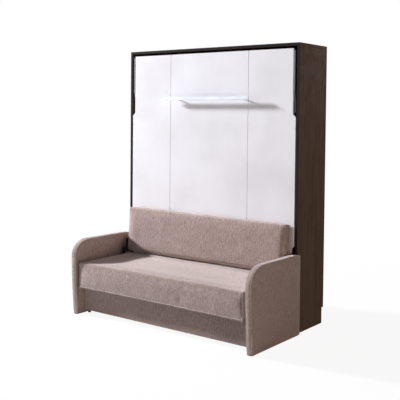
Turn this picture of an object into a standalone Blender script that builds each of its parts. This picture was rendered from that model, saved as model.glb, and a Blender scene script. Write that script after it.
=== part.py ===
"""Wall bed with a sofa in front: a tall cabinet whose white front folds down as a double bed.

The bed turns on two pins inside the cabinet. As it comes down, the two legs swing out at its
head, the backrest folds forward onto the seat and the seat sinks on four guide rods, so that
the bed passes over the sofa between its two upholstered arms.

Metres, +Z up, +X to the right, -Y towards the room. The origin is the middle of the base.
"""
from math import atan2, cos, hypot, pi, radians, sin

import bmesh
import bpy
from mathutils import Matrix, Vector

# Overall sizes: the cabinet's height and width follow its mattress
CABINET_DEPTH = 0.430
SOFA_REACH = 0.675
HEAD_SPACE = 0.098
FITTING_SPACE = 0.038

# Boards, steel and clearances that several pieces share
BOARD = 0.022
BACK_BOARD = 0.008
EDGE = 0.0015
STEEL_EDGE = 0.0008
GAP = 0.0003
PIN_CLEARANCE = 0.0003

# Cabinet
NOTCH_DEPTH = 0.025
NOTCH_HEIGHT = 0.125
BACK_SETBACK = 0.010
FLOOR_HEIGHT = 0.060
FLOOR_SETBACK = 0.005
PLINTH_SETBACK = 0.030
RAIL_BOARD = 0.020
WALL_RAIL_HEIGHT = 0.090
LOWER_RAIL_HEIGHT = 0.095

# Main pivot of the bed
PIVOT_BACK = 0.035
PIVOT_HEIGHT = 0.475
PIN_RADIUS = 0.008
BUSH_RADIUS = 0.012
PIVOT_PLATE = 0.005
PIVOT_PLATE_FRONT = 0.005
PIVOT_PLATE_DEPTH = 0.120
PIVOT_PLATE_BELOW = 0.115
PIVOT_PLATE_ABOVE = 0.125
PLATE_CORNER = 0.012
SCREW_RADIUS = 0.005
SCREW_HEAD = 0.0015
SCREW_INSET = 0.018

# Bed front and frame
SIDE_PLAY = 0.007
TOP_PLAY = 0.020
BED_LOW = 0.150
MIDDLE_BOARD = 0.784
BOARD_JOINT = 0.002
EDGE_NOTCH = 0.025
PIVOT_NOTCH_ABOVE = 0.192
LEG_NOTCH_BELOW = 0.040
FRAME_WIDTH = 0.040
FRAME_DEPTH = 0.060
HINGE_PLATE = 0.006
HINGE_PLATE_MARGIN = 0.025
HINGE_PLATE_ABOVE = 0.145
HINGE_PLATE_DEPTH = 0.058

# Slats
SLAT_COUNT = 13
SLAT_WIDTH = 0.068
SLAT_THICKNESS = 0.009
SLAT_BOW = 0.006
SLAT_END = 0.004
HOLDER_LENGTH = 0.030
HOLDER_DEPTH = 0.020
HOLDER_WIDTH = 0.056

# Mattress and what holds it
MATTRESS_WIDTH = 1.500
MATTRESS_LENGTH = 1.900
MATTRESS_THICKNESS = 0.160
MATTRESS_LIFT = 0.030
MATTRESS_CROWN = 0.006
MATTRESS_DRAW = 0.006
MATTRESS_ROUND = 0.022
LEDGE_DEPTH = 0.098
LEDGE_THICKNESS = 0.024
LEDGE_SHORT = 0.050
STRAP_WIDTH = 0.040
STRAP_THICKNESS = 0.002

# Handle
HANDLE_LENGTH = 0.854
HANDLE_HEIGHT = 0.029
HANDLE_THICKNESS = 0.015
HANDLE_STANDOFF = 0.042
HANDLE_DROP = 0.371
POST_RADIUS = 0.006
POST_INSET = 0.097

# Legs
LEG_PIVOT_BACK = 0.030
LEG_HEAD_SPACE = 0.0295
LEG_WIDTH = 0.025
LEG_THICKNESS = 0.010
LEG_PLAY = 0.006
LEG_STRAIGHT = 0.080
LEG_BEND = 0.160
LEG_OFFSET = 0.018
LEG_PIN_RADIUS = 0.006
LEG_COLLAR_RADIUS = 0.0075
LEG_HEAD_RADIUS = 0.009
LEG_HEAD = 0.0015
LEG_PLATE = 0.004
LEG_PLATE_BELOW = 0.060
LEG_PLATE_ABOVE = 0.060
LEG_PAD = 0.005
LEG_PAD_LIP = 0.001
FOOT_CLEAR = 0.0015

# Gas springs, one on each side
SPRING_PLACE = 0.019
SPRING_RADIUS = 0.011
SPRING_BACK = 0.080
SPRING_RISE = 0.305
STUD_BACK = 0.060
STUD_DROP = 0.190
STUD_RADIUS = 0.007
BARREL_START = 0.022
BARREL_LENGTH = 0.255
BARREL_NECK = 0.006
BARREL_SHOULDER = 0.006
BORE_FLOOR = 0.012
ROD_RADIUS = 0.005
ROD_CLEARANCE = 0.0006
ROD_GRIP = 0.030
EYE_RADIUS = 0.010
EYE_WIDTH = 0.012
EYE_PIN_RADIUS = 0.004
SPRING_PLATE = 0.003
SPRING_PLATE_HALF = 0.024

# Sofa arms
ARM_THICKNESS = 0.057
ARM_LIFT = 0.006
ARM_FOOT_SETBACK = 0.027
ARM_HEIGHT = 0.616
ARM_BACK_DROP = 0.016
ARM_NOSE_DROP = 0.126
ARM_NOSE_LENGTH = 0.165
ARM_BACK_LENGTH = 0.140
ARM_ROUND = 0.009
ARM_CROWN = 0.004
ARM_CROWN_INSET = 0.032
ARM_BRACKET = 0.0035
ARM_BRACKET_FRONT = 0.060
ARM_BRACKET_BACK = 0.050
ARM_BRACKET_CLEARANCE = 0.040
ARM_BRACKET_HEIGHT = 0.180
GLIDE_RADIUS = 0.015
GLIDE_INSET = 0.059

# Sofa base
APRON_PLAY = 0.006
APRON_THICKNESS = 0.030
APRON_ROUND = 0.006
BASE_LIFT = 0.030
APRON_CLEARANCE = 0.014
BASE_RAIL_WIDTH = 0.026
BASE_RAIL_HEIGHT = 0.070
BASE_REAR_REACH = 0.040
BASE_REAR_HEIGHT = 0.150
FOOT_RADIUS = 0.012
ROD_FRONT_INSET = 0.086
ROD_REAR_REACH = 0.220
GUIDE_RADIUS = 0.007
GUIDE_OFFSET = 0.012
GUIDE_ABOVE = 0.0383
LUG_THICKNESS = 0.012
LUG_WIDTH = 0.030
LUG_INSET = 0.0193

# Seat
SEAT_SIDE_PLAY = 0.023
SEAT_SETBACK = 0.013
SEAT_TOP = 0.450
SEAT_CROWN = 0.012
SEAT_DRAW = 0.005
SEAT_ROUND = 0.016
SEAT_REAR_REACH = 0.045
SEAT_FOAM = 0.0697
NOSE_DEPTH = 0.226
NOSE_THICKNESS = 0.070
SEAT_BOARD = 0.018
SEAT_BOARD_PLAY = 0.0195
SLIDE_INSET = 0.043
SLIDE_PLAY = 0.0015
SLIDE_HEIGHT = 0.016
SLIDE_END = 0.050
GUIDE_CLEARANCE = 0.0005
SEAT_TRAVEL = 0.118

# Backrest
BACKREST_SIDE_PLAY = 0.048
BACKREST_HEIGHT = 0.370
BACKREST_THICKNESS = 0.092
BACKREST_CROWN = 0.008
BACKREST_DRAW = 0.004
BACKREST_ROUND = 0.014
BACKREST_LEAN = radians(5)
FOLD_REACH = 0.116
FOLD_RISE = 0.024
FOLD_INSET = 0.014
FOLD_PIN_RADIUS = 0.006
BRACKET_STEEL = 0.004
BRACKET_HALF = 0.020
BRACKET_BELOW = 0.125
BRACKET_ABOVE = 0.018
FOLD_PLATE = 0.003
FOLD_PLATE_WIDTH = 0.080
FOLD_PLATE_HEIGHT = 0.110
FOLD_PLATE_INSET = 0.002

# Facets, how close equal shares are, and angles in degrees: past the first an edge is rounded,
# past the second it is shaded sharp, and under the third two faces are one
SHARP_ANGLE = 40
CREASE_ANGLE = 35
FLAT_ANGLE = 0.1
SHARE_TOLERANCE = 0.0001
ROUND_SIDES = 24
SMALL_SIDES = 16
SCREW_SIDES = 10
CORNER_STEPS = 3

# The cabinet, which takes its height and width from the mattress
MATTRESS_LOW = BED_LOW + MATTRESS_LIFT
MATTRESS_HIGH = MATTRESS_LOW + MATTRESS_LENGTH
RAIL_INNER = MATTRESS_WIDTH / 2
RAIL_OUTER = RAIL_INNER + FRAME_WIDTH
SIDE_INNER = RAIL_OUTER + FITTING_SPACE
WIDTH = 2 * (SIDE_INNER + BOARD)
TOP_LOW = MATTRESS_HIGH + HEAD_SPACE
HEIGHT = TOP_LOW + BOARD
FRONT = (SOFA_REACH - CABINET_DEPTH) / 2
BACK = FRONT + CABINET_DEPTH

# The bed, its fittings and its legs
BED_TOP = TOP_LOW - TOP_PLAY
BED_EDGE = SIDE_INNER - SIDE_PLAY
FRAME_FRONT = FRONT + BOARD + GAP
FRAME_BACK = FRAME_FRONT + FRAME_DEPTH
FRAME_TOP = MATTRESS_HIGH + FRAME_WIDTH - LEDGE_THICKNESS / 2
PLATE_INNER = SIDE_INNER - GAP - PIVOT_PLATE
HINGE_PLATE_BELOW = STUD_DROP + HINGE_PLATE_MARGIN
PIVOT_NOTCH_TOP = PIVOT_HEIGHT + PIVOT_NOTCH_ABOVE
LEG_LENGTH = PIVOT_HEIGHT + LEG_PIVOT_BACK - PIVOT_BACK - FOOT_CLEAR
LEG_PIVOT_HEIGHT = TOP_LOW - LEG_HEAD_SPACE - LEG_LENGTH
LEG_NOTCH_LOW = LEG_PIVOT_HEIGHT - LEG_NOTCH_BELOW
HANDLE_CENTRE = BED_TOP - HANDLE_DROP
POST_PLACE = HANDLE_LENGTH / 2 - POST_INSET
SPRING_AXIS = SIDE_INNER - SPRING_PLACE
SPRING_HEIGHT = PIVOT_HEIGHT + SPRING_RISE
STUD_HEIGHT = PIVOT_HEIGHT - STUD_DROP
SPRING_FROM = Vector((0, FRONT + SPRING_BACK, SPRING_HEIGHT))
SPRING_LENGTH = hypot(STUD_BACK - SPRING_BACK, STUD_HEIGHT - SPRING_HEIGHT)
SPRING_TURN = atan2(SPRING_BACK - STUD_BACK, STUD_HEIGHT - SPRING_HEIGHT)

# The sofa
ARM_FACE = SIDE_INNER - GAP
ARM_FOOT_REACH = SOFA_REACH - ARM_FOOT_SETBACK
ARM_BACK_HEIGHT = ARM_HEIGHT - ARM_BACK_DROP
ARM_NOSE_HEIGHT = ARM_HEIGHT - ARM_NOSE_DROP
GLIDE_PLACES = (GLIDE_INSET, ARM_FOOT_REACH - GLIDE_INSET)
ARM_BRACKET_HIGH = PIVOT_HEIGHT - PIVOT_PLATE_BELOW - ARM_BRACKET_CLEARANCE
SEAT_HALF = SIDE_INNER - SEAT_SIDE_PLAY
SEAT_REACH = SOFA_REACH - SEAT_SETBACK
SEAT_BOARD_HALF = SIDE_INNER - SEAT_BOARD_PLAY
SEAT_BOARD_TOP = SEAT_TOP - SEAT_FOAM - GAP
SEAT_BOARD_LOW = SEAT_BOARD_TOP - SEAT_BOARD
NOSE_LOW = SEAT_TOP - NOSE_DEPTH
APRON_REACH = SEAT_REACH - NOSE_THICKNESS - APRON_PLAY
APRON_TOP = SEAT_BOARD_LOW - SEAT_TRAVEL - APRON_CLEARANCE
ROD_PLACES = (APRON_REACH - ROD_FRONT_INSET, ROD_REAR_REACH)
SLIDE_TOP = SEAT_BOARD_LOW - GAP
SLIDE_INNER = SIDE_INNER - SLIDE_INSET
SLIDE_OUTER = SIDE_INNER - SLIDE_PLAY
GUIDE_TOP = SLIDE_TOP + GUIDE_ABOVE
BACKREST_HALF = SIDE_INNER - BACKREST_SIDE_PLAY
FOLD_HEIGHT = SEAT_TOP + FOLD_RISE

SIDES = (("left", -1), ("right", 1))


def clear_scene():
    """Removes the objects of the scene that the script starts in."""
    for old in list(bpy.data.objects):
        bpy.data.objects.remove(old, do_unlink=True)


def make_collection(name):
    """Returns a new collection under the scene's own."""
    made = bpy.data.collections.new(name)
    bpy.context.scene.collection.children.link(made)
    return made


def linear(channel):
    """Turns a display colour channel from 0 to 255 into a linear one from 0 to 1."""
    share = channel / 255
    if share <= 0.04045:
        return share / 12.92
    return ((share + 0.055) / 1.055) ** 2.4


def finish(name, colour, roughness, metallic=0.0):
    """Returns the recipe of a Principled material."""
    return {"name": name, "colour": colour, "roughness": roughness, "metallic": metallic}


WALNUT = finish("dark walnut board", (62, 51, 43), 0.42)
WHITE = finish("white lacquered board", (240, 240, 244), 0.35)
FABRIC = finish("taupe upholstery", (112, 96, 86), 0.95)
TICKING = finish("mattress ticking", (226, 224, 218), 0.92)
TIMBER = finish("pale timber", (196, 164, 120), 0.6)
BIRCH = finish("birch plywood", (208, 180, 138), 0.55)
ALUMINIUM = finish("anodised aluminium", (224, 226, 230), 0.3, 0.8)
STEEL = finish("zinc plated steel", (150, 152, 154), 0.4, 1.0)
GREY_STEEL = finish("grey painted steel", (98, 98, 100), 0.45, 0.3)
BLACK = finish("black plastic", (24, 24, 25), 0.5)
WEBBING = finish("grey webbing", (92, 92, 94), 0.9)
BACKING = finish("brown hardboard", (92, 72, 54), 0.75)


def make_material(name, recipe):
    """Returns a Principled material for one part."""
    made = bpy.data.materials.new(name)
    made.use_nodes = True
    shader = made.node_tree.nodes["Principled BSDF"]
    colour = [linear(channel) for channel in recipe["colour"]]
    shader.inputs["Base Color"].default_value = (*colour, 1.0)
    shader.inputs["Roughness"].default_value = recipe["roughness"]
    shader.inputs["Metallic"].default_value = recipe["metallic"]
    return made


def span(side, inner, outer):
    """Returns the X range between two distances from the middle, on one side."""
    return tuple(sorted((side * inner, side * outer)))


def make_pivot(name, place, turn=0.0, carrier=None):
    """Adds an empty on a joint's axis, turned about X."""
    empty = bpy.data.objects.new(name, None)
    empty.empty_display_type = "ARROWS"
    PARTS.objects.link(empty)
    empty.location = place
    empty.rotation_euler.x = turn
    if carrier is not None:
        attach(empty, carrier)
    bpy.context.view_layer.update()
    return empty


def attach(piece, carrier):
    """Parents a piece to an empty and leaves it where it is."""
    piece.parent = carrier
    piece.matrix_parent_inverse = carrier.matrix_world.inverted()


def box_into(mesh, x, y, z):
    """Adds a box between the ends of three ranges."""
    low = Vector((x[0], y[0], z[0]))
    high = Vector((x[1], y[1], z[1]))
    place = Matrix.LocRotScale((low + high) / 2, None, high - low)
    bmesh.ops.create_cube(mesh, size=1.0, matrix=place)
    return mesh


def cylinder_into(mesh, axis, along, centre, radius, sides=ROUND_SIDES):
    """Adds a cylinder along an axis: its range there, and its centre on the other two axes."""
    turns = {"X": Matrix.Rotation(pi / 2, 4, "Y"), "Y": Matrix.Rotation(pi / 2, 4, "X"), "Z": Matrix()}
    middle = (along[0] + along[1]) / 2
    place = {"X": (middle, *centre), "Y": (centre[0], middle, centre[1]), "Z": (*centre, middle)}
    bmesh.ops.create_cone(
        mesh,
        cap_ends=True,
        segments=sides,
        radius1=radius,
        radius2=radius,
        depth=abs(along[1] - along[0]),
        matrix=Matrix.Translation(place[axis]) @ turns[axis],
    )
    return mesh


def new_box(x, y, z):
    """Returns a mesh that holds one box."""
    return box_into(bmesh.new(), x, y, z)


def new_cylinder(axis, along, centre, radius, sides=ROUND_SIDES):
    """Returns a mesh that holds one cylinder."""
    return cylinder_into(bmesh.new(), axis, along, centre, radius, sides)


def counter_clockwise(points):
    """Returns the points in counter-clockwise order."""
    following = points[1:] + points[:1]
    area = sum(a[0] * b[1] - b[0] * a[1] for a, b in zip(points, following))
    return points if area > 0 else points[::-1]


def outline_into(mesh, loops, axis, along):
    """Adds a flat outline, with any holes, that is as thick as its range along an axis."""
    turns = {"X": (pi / 2, 0, pi / 2), "Y": (pi / 2, 0, 0), "Z": (0, 0, 0)}
    middle = (along[0] + along[1]) / 2
    place = {"X": (middle, 0, 0), "Y": (0, middle, 0), "Z": (0, 0, middle)}
    curve = bpy.data.curves.new("outline", "CURVE")
    curve.dimensions = "2D"
    curve.fill_mode = "BOTH"
    curve.extrude = abs(along[1] - along[0]) / 2
    for points in loops:
        spline = curve.splines.new("POLY")
        spline.points.add(len(points) - 1)
        for point, (across, up) in zip(spline.points, counter_clockwise(points)):
            point.co = (across, up, 0, 1)
        spline.use_cyclic_u = True
    drawn = bpy.data.objects.new("outline", curve)
    drawn.rotation_euler = turns[axis]
    drawn.location = place[axis]
    bpy.context.scene.collection.objects.link(drawn)
    bpy.context.view_layer.update()
    depsgraph = bpy.context.evaluated_depsgraph_get()
    solid = bpy.data.meshes.new_from_object(drawn.evaluated_get(depsgraph))
    solid.transform(drawn.matrix_world)
    piece = bmesh.new()
    piece.from_mesh(solid)
    bmesh.ops.remove_doubles(piece, verts=piece.verts, dist=GAP / 10)
    bmesh.ops.dissolve_limit(piece, angle_limit=radians(FLAT_ANGLE), verts=piece.verts, edges=piece.edges)
    bmesh.ops.recalc_face_normals(piece, faces=piece.faces)
    piece.to_mesh(solid)
    piece.free()
    mesh.from_mesh(solid)
    bpy.data.objects.remove(drawn)
    bpy.data.curves.remove(curve)
    bpy.data.meshes.remove(solid)
    return mesh


def new_outline(loops, axis, along):
    """Returns a mesh that holds one thick outline."""
    return outline_into(bmesh.new(), loops, axis, along)


def arc(centre, radii, start, end, steps):
    """Returns points on an ellipse's arc, both ends included."""
    points = []
    for step in range(steps + 1):
        angle = start + (end - start) * step / steps
        points.append((centre[0] + radii[0] * cos(angle), centre[1] + radii[1] * sin(angle)))
    return points


def circle(centre, radius, sides=ROUND_SIDES):
    """Returns the points of a full circle."""
    return arc(centre, (radius, radius), 0, 2 * pi * (sides - 1) / sides, sides - 1)


def rounded(across, up, corner, steps=CORNER_STEPS):
    """Returns a rectangle's points with its four corners rounded."""
    points = []
    corners = ((across[1], up[1], -1, -1), (across[0], up[1], 1, -1),
               (across[0], up[0], 1, 1), (across[1], up[0], -1, 1))
    for turn, (a, b, inward_a, inward_b) in enumerate(corners):
        centre = (a + inward_a * corner, b + inward_b * corner)
        points += arc(centre, (corner, corner), turn * pi / 2, (turn + 1) * pi / 2, steps)
    return points


def add_operand(target, mesh, operation, frame, carrier):
    """Adds a Boolean to a part, with its second solid as a hidden guide."""
    data = bpy.data.meshes.new(f"{target.name} {operation.lower()}")
    mesh.to_mesh(data)
    mesh.free()
    guide = bpy.data.objects.new(data.name, data)
    guide.matrix_world = frame
    guide.hide_render = True
    guide.display_type = "WIRE"
    CUTTERS.objects.link(guide)
    bpy.context.view_layer.update()
    if carrier is not None:
        attach(guide, carrier)
    boolean = target.modifiers.new(operation.title(), "BOOLEAN")
    boolean.operation = operation
    boolean.solver = "EXACT"
    boolean.object = guide


def part(name, mesh, recipe, carrier=None, edge=0.0, steps=1, frame=None, joined=(), removed=(), turned=0):
    """Makes a part from its mesh, then joins, cuts and bevels it.

    A mesh without a frame is in world places, and the part's origin is then its middle.
    """
    operand_frame = frame or Matrix()
    if frame is None:
        corners = [vertex.co for vertex in mesh.verts]
        low = Vector(min(corner[i] for corner in corners) for i in range(3))
        high = Vector(max(corner[i] for corner in corners) for i in range(3))
        middle = (low + high) / 2
        bmesh.ops.translate(mesh, verts=mesh.verts, vec=-middle)
        frame = Matrix.Translation(middle)
    data = bpy.data.meshes.new(name)
    mesh.to_mesh(data)
    mesh.free()
    made = bpy.data.objects.new(name, data)
    data.materials.append(make_material(name, recipe))
    PARTS.objects.link(made)
    made.matrix_world = frame
    bpy.context.view_layer.update()
    if carrier is not None:
        attach(made, carrier)
    if turned:
        screw = made.modifiers.new("Turn", "SCREW")
        screw.steps = turned
        screw.render_steps = turned
        screw.use_merge_vertices = True
        screw.merge_threshold = GAP / 10
    for operand in joined:
        add_operand(made, operand, "UNION", operand_frame, carrier)
    for operand in removed:
        add_operand(made, operand, "DIFFERENCE", operand_frame, carrier)
    if edge:
        bevel = made.modifiers.new("Rounded edges", "BEVEL")
        bevel.width = edge
        bevel.segments = steps
        bevel.limit_method = "WEIGHT" if "bevel_weight_edge" in data.attributes else "ANGLE"
        bevel.angle_limit = radians(SHARP_ANGLE)
    data.shade_smooth()
    data.set_sharp_from_angle(angle=radians(CREASE_ANGLE))
    return made


def block(name, x, y, z, recipe, carrier=None, edge=EDGE):
    """Makes a rectangular part with rounded edges."""
    return part(name, new_box(x, y, z), recipe, carrier, edge)


def mark_outer_edges(mesh):
    """Gives the sharp edges that stand out their bevel, so that inner corners stay square."""
    mesh.normal_update()
    weight = mesh.edges.layers.float.new("bevel_weight_edge")
    for edge in mesh.edges:
        edge[weight] = float(edge.is_convex and edge.calc_face_angle() > radians(SHARP_ANGLE))


def cut_across(mesh, axis, low, high, pieces):
    """Cuts a mesh across an axis into slices of equal width between two places."""
    normal = Vector([1.0 if i == axis else 0.0 for i in range(3)])
    for step in range(1, pieces):
        place = low + (high - low) * step / pieces
        everything = mesh.verts[:] + mesh.edges[:] + mesh.faces[:]
        bmesh.ops.bisect_plane(mesh, geom=everything, plane_co=normal * place, plane_no=normal)


def swell(mesh, low, high, face, side, crown, draw):
    """Crowns one face of a cushion and draws its sides in between the corners.

    The face is the one across the axis named face, on its low side (-1) or high side (1). The
    crown falls to nothing at the edges by the fourth power of the share of the way from the
    middle. The sides across the other two axes move in by draw at their middle, and less
    towards the corners by the square of that share.
    """
    centre = (low + high) / 2
    half = (high - low) / 2
    others = [axis for axis in range(3) if axis != face]
    for vertex in mesh.verts:
        shares = [(vertex.co[i] - centre[i]) / half[i] for i in range(3)]
        if abs(shares[face] - side) < SHARE_TOLERANCE:
            rise = crown
            for axis in others:
                rise *= max(0.0, 1 - abs(shares[axis]) ** 4)
            vertex.co[face] += side * rise
        for axis, other in (others, others[::-1]):
            if abs(abs(shares[axis]) - 1) < SHARE_TOLERANCE:
                inward = draw * max(0.0, 1 - shares[other] ** 2)
                vertex.co[axis] -= inward if shares[axis] > 0 else -inward


def make_cabinet():
    """Makes the cabinet's boards and rails."""
    inner = SIDE_INNER - GAP
    top = TOP_LOW - GAP
    block("top_panel", (-WIDTH / 2, WIDTH / 2), (FRONT, BACK), (TOP_LOW, HEIGHT), WALNUT)
    notch = BACK - NOTCH_DEPTH
    profile = [(FRONT, 0), (notch, 0), (notch, NOTCH_HEIGHT), (BACK, NOTCH_HEIGHT), (BACK, top), (FRONT, top)]
    for name, side in SIDES:
        mesh = new_outline([profile], "X", span(side, SIDE_INNER, WIDTH / 2))
        part(f"side_panel_{name}", mesh, WALNUT, edge=EDGE)
    back_face = BACK - BACK_SETBACK
    back_front = back_face - BACK_BOARD
    back_low = NOTCH_HEIGHT + BACK_SETBACK
    block("back_panel", (-inner, inner), (back_front, back_face), (back_low, top), BACKING, edge=STEEL_EDGE)
    rail_y = (back_front - GAP - RAIL_BOARD, back_front - GAP)
    block("wall_fixing_rail", (-inner, inner), rail_y, (top - WALL_RAIL_HEIGHT, top), WALNUT)
    block("lower_rear_rail", (-inner, inner), rail_y, (back_low, back_low + LOWER_RAIL_HEIGHT), WALNUT)
    floor_y = (FRONT + FLOOR_SETBACK, notch - GAP)
    block("bottom_panel", (-inner, inner), floor_y, (FLOOR_HEIGHT, FLOOR_HEIGHT + BOARD), WALNUT)
    plinths = {"front": FRONT + PLINTH_SETBACK, "rear": notch - PLINTH_SETBACK - BOARD}
    for name, front in plinths.items():
        block(f"plinth_{name}", (-inner, inner), (front, front + BOARD), (0, FLOOR_HEIGHT - GAP), WALNUT)


def make_main_pivots():
    """Makes the two steel plates that carry the bed's pins, each with its bush and screws."""
    centre = (FRONT + PIVOT_BACK, PIVOT_HEIGHT)
    plate_y = (FRONT + PIVOT_PLATE_FRONT, FRONT + PIVOT_PLATE_FRONT + PIVOT_PLATE_DEPTH)
    plate_z = (PIVOT_HEIGHT - PIVOT_PLATE_BELOW, PIVOT_HEIGHT + PIVOT_PLATE_ABOVE)
    inside = PLATE_INNER + PIVOT_PLATE / 2
    pin_end = RAIL_OUTER + GAP * 2
    bush_end = RAIL_OUTER + GAP * 2 + HINGE_PLATE
    for name, side in SIDES:
        plate = new_outline([rounded(plate_y, plate_z, PLATE_CORNER)], "X", span(side, PLATE_INNER, ARM_FACE))
        pin = new_cylinder("X", span(side, pin_end, inside), centre, PIN_RADIUS)
        bush = new_cylinder("X", span(side, bush_end, inside), centre, BUSH_RADIUS)
        screws = bmesh.new()
        head = span(side, PLATE_INNER - SCREW_HEAD, inside)
        for y in (plate_y[0] + SCREW_INSET, plate_y[1] - SCREW_INSET):
            for z in (plate_z[0] + SCREW_INSET, plate_z[1] - SCREW_INSET):
                cylinder_into(screws, "X", head, (y, z), SCREW_RADIUS, SCREW_SIDES)
        part(f"pivot_plate_{name}", plate, STEEL, joined=[pin, bush, screws])


def bed_side_outline(side):
    """Returns a side board's outline: notched for the leg above and for the pivot below."""
    inner = MIDDLE_BOARD / 2 + BOARD_JOINT
    narrow = BED_EDGE - EDGE_NOTCH
    points = [
        (inner, BED_LOW),
        (narrow, BED_LOW),
        (narrow, PIVOT_NOTCH_TOP - EDGE_NOTCH),
        (BED_EDGE, PIVOT_NOTCH_TOP),
        (BED_EDGE, LEG_NOTCH_LOW),
        (narrow, LEG_NOTCH_LOW + EDGE_NOTCH),
        (narrow, BED_TOP),
        (inner, BED_TOP),
    ]
    return [(side * x, z) for x, z in points]


def make_bed_front(bed):
    """Makes the three white boards and the long handle."""
    board_y = (FRONT, FRONT + BOARD)
    half = MIDDLE_BOARD / 2
    block("bed_board_middle", (-half, half), board_y, (BED_LOW, BED_TOP), WHITE, bed)
    for name, side in SIDES:
        mesh = new_outline([bed_side_outline(side)], "Y", board_y)
        part(f"bed_board_{name}", mesh, WHITE, bed, EDGE)
    bar_y = (FRONT - HANDLE_STANDOFF - HANDLE_THICKNESS, FRONT - HANDLE_STANDOFF)
    bar_z = (HANDLE_CENTRE - HANDLE_HEIGHT / 2, HANDLE_CENTRE + HANDLE_HEIGHT / 2)
    half = HANDLE_LENGTH / 2
    block("handle_bar", (-half, half), bar_y, bar_z, ALUMINIUM, bed, EDGE)
    for name, side in SIDES:
        centre = (side * POST_PLACE, HANDLE_CENTRE)
        post = new_cylinder("Y", (bar_y[1] + GAP, FRONT - GAP), centre, POST_RADIUS, SMALL_SIDES)
        part(f"handle_post_{name}", post, ALUMINIUM, bed)


def make_bed_frame(bed):
    """Makes the timber frame behind the boards, with a sprung slat base.

    The side rails carry the slats' holders. Two columns of bowed slats grow out of the beam
    down the middle and lie on those holders.
    """
    frame_y = (FRAME_FRONT, FRAME_BACK)
    foot_top = BED_LOW + FRAME_WIDTH
    head_low = FRAME_TOP - FRAME_WIDTH
    inner = RAIL_INNER - GAP
    block("foot_rail", (-inner, inner), frame_y, (BED_LOW, foot_top), TIMBER, bed)
    block("head_rail", (-inner, inner), frame_y, (head_low, FRAME_TOP), TIMBER, bed)
    slat_front = FRAME_BACK - SLAT_BOW - SLAT_THICKNESS
    holder_y = (slat_front - GAP - HOLDER_DEPTH, slat_front - GAP)
    pitch = (head_low - foot_top) / SLAT_COUNT
    middles = [foot_top + pitch * (index + 0.5) for index in range(SLAT_COUNT)]
    half = FRAME_WIDTH / 2
    slats = bmesh.new()
    for name, side in SIDES:
        rail = new_box(span(side, RAIL_INNER, RAIL_OUTER), frame_y, (BED_LOW, FRAME_TOP))
        holder_x = span(side, RAIL_INNER - HOLDER_LENGTH, RAIL_INNER + half)
        holders = bmesh.new()
        outline = slat_outline(side, half - SLAT_END, RAIL_INNER - SLAT_END, slat_front)
        for middle in middles:
            box_into(holders, holder_x, holder_y, (middle - HOLDER_WIDTH / 2, middle + HOLDER_WIDTH / 2))
            outline_into(slats, [outline], "Z", (middle - SLAT_WIDTH / 2, middle + SLAT_WIDTH / 2))
        part(f"side_rail_{name}", rail, TIMBER, bed, joined=[holders])
    beam = new_box((-half, half), frame_y, (foot_top + GAP, head_low - GAP))
    part("slat_base", beam, BIRCH, bed, joined=[slats])


def slat_outline(side, start, end, front):
    """Returns a sprung slat's outline from above: it bows towards the mattress.

    The bow falls to nothing at both ends by the square of the share of the way from the middle.
    """
    steps = 6
    near = []
    far = []
    for step in range(steps + 1):
        share = 2 * step / steps - 1
        x = side * (start + (end - start) * step / steps)
        rise = SLAT_BOW * (1 - share ** 2)
        near.append((x, front + rise))
        far.append((x, front + rise + SLAT_THICKNESS))
    return near + far[::-1]


def make_mattress(bed):
    """Makes the mattress, the ledges at its two ends and the strap round its middle."""
    seat = FRAME_BACK + GAP
    face = seat + MATTRESS_THICKNESS
    half = MATTRESS_WIDTH / 2 - GAP
    high = MATTRESS_HIGH
    x = (-half, half)
    y = (seat, face - MATTRESS_CROWN)
    mesh = new_box(x, y, (MATTRESS_LOW, high))
    cut_across(mesh, 0, *x, 8)
    cut_across(mesh, 2, MATTRESS_LOW, high, 10)
    corners = (Vector((x[0], y[0], MATTRESS_LOW)), Vector((x[1], y[1], high)))
    swell(mesh, *corners, 1, 1, MATTRESS_CROWN, MATTRESS_DRAW)
    part("mattress", mesh, TICKING, bed, MATTRESS_ROUND, 3)
    ledge = MATTRESS_WIDTH / 2 - LEDGE_SHORT
    ledge_y = (seat, seat + LEDGE_DEPTH)
    low_z = (MATTRESS_LOW - GAP - LEDGE_THICKNESS, MATTRESS_LOW - GAP)
    high_z = (high + GAP, high + GAP + LEDGE_THICKNESS)
    block("mattress_ledge_foot", (-ledge, ledge), ledge_y, low_z, TIMBER, bed)
    block("mattress_ledge_head", (-ledge, ledge), ledge_y, high_z, TIMBER, bed)
    inner = MATTRESS_WIDTH / 2 + GAP
    outer = inner + STRAP_THICKNESS
    over = face + GAP
    loop = [(inner, seat), (outer, seat), (outer, over + STRAP_THICKNESS), (-outer, over + STRAP_THICKNESS),
            (-outer, seat), (-inner, seat), (-inner, over), (inner, over)]
    middle = (MATTRESS_LOW + high) / 2
    strap = new_outline([loop], "Z", (middle - STRAP_WIDTH / 2, middle + STRAP_WIDTH / 2))
    part("mattress_strap", strap, WEBBING, bed)


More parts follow.
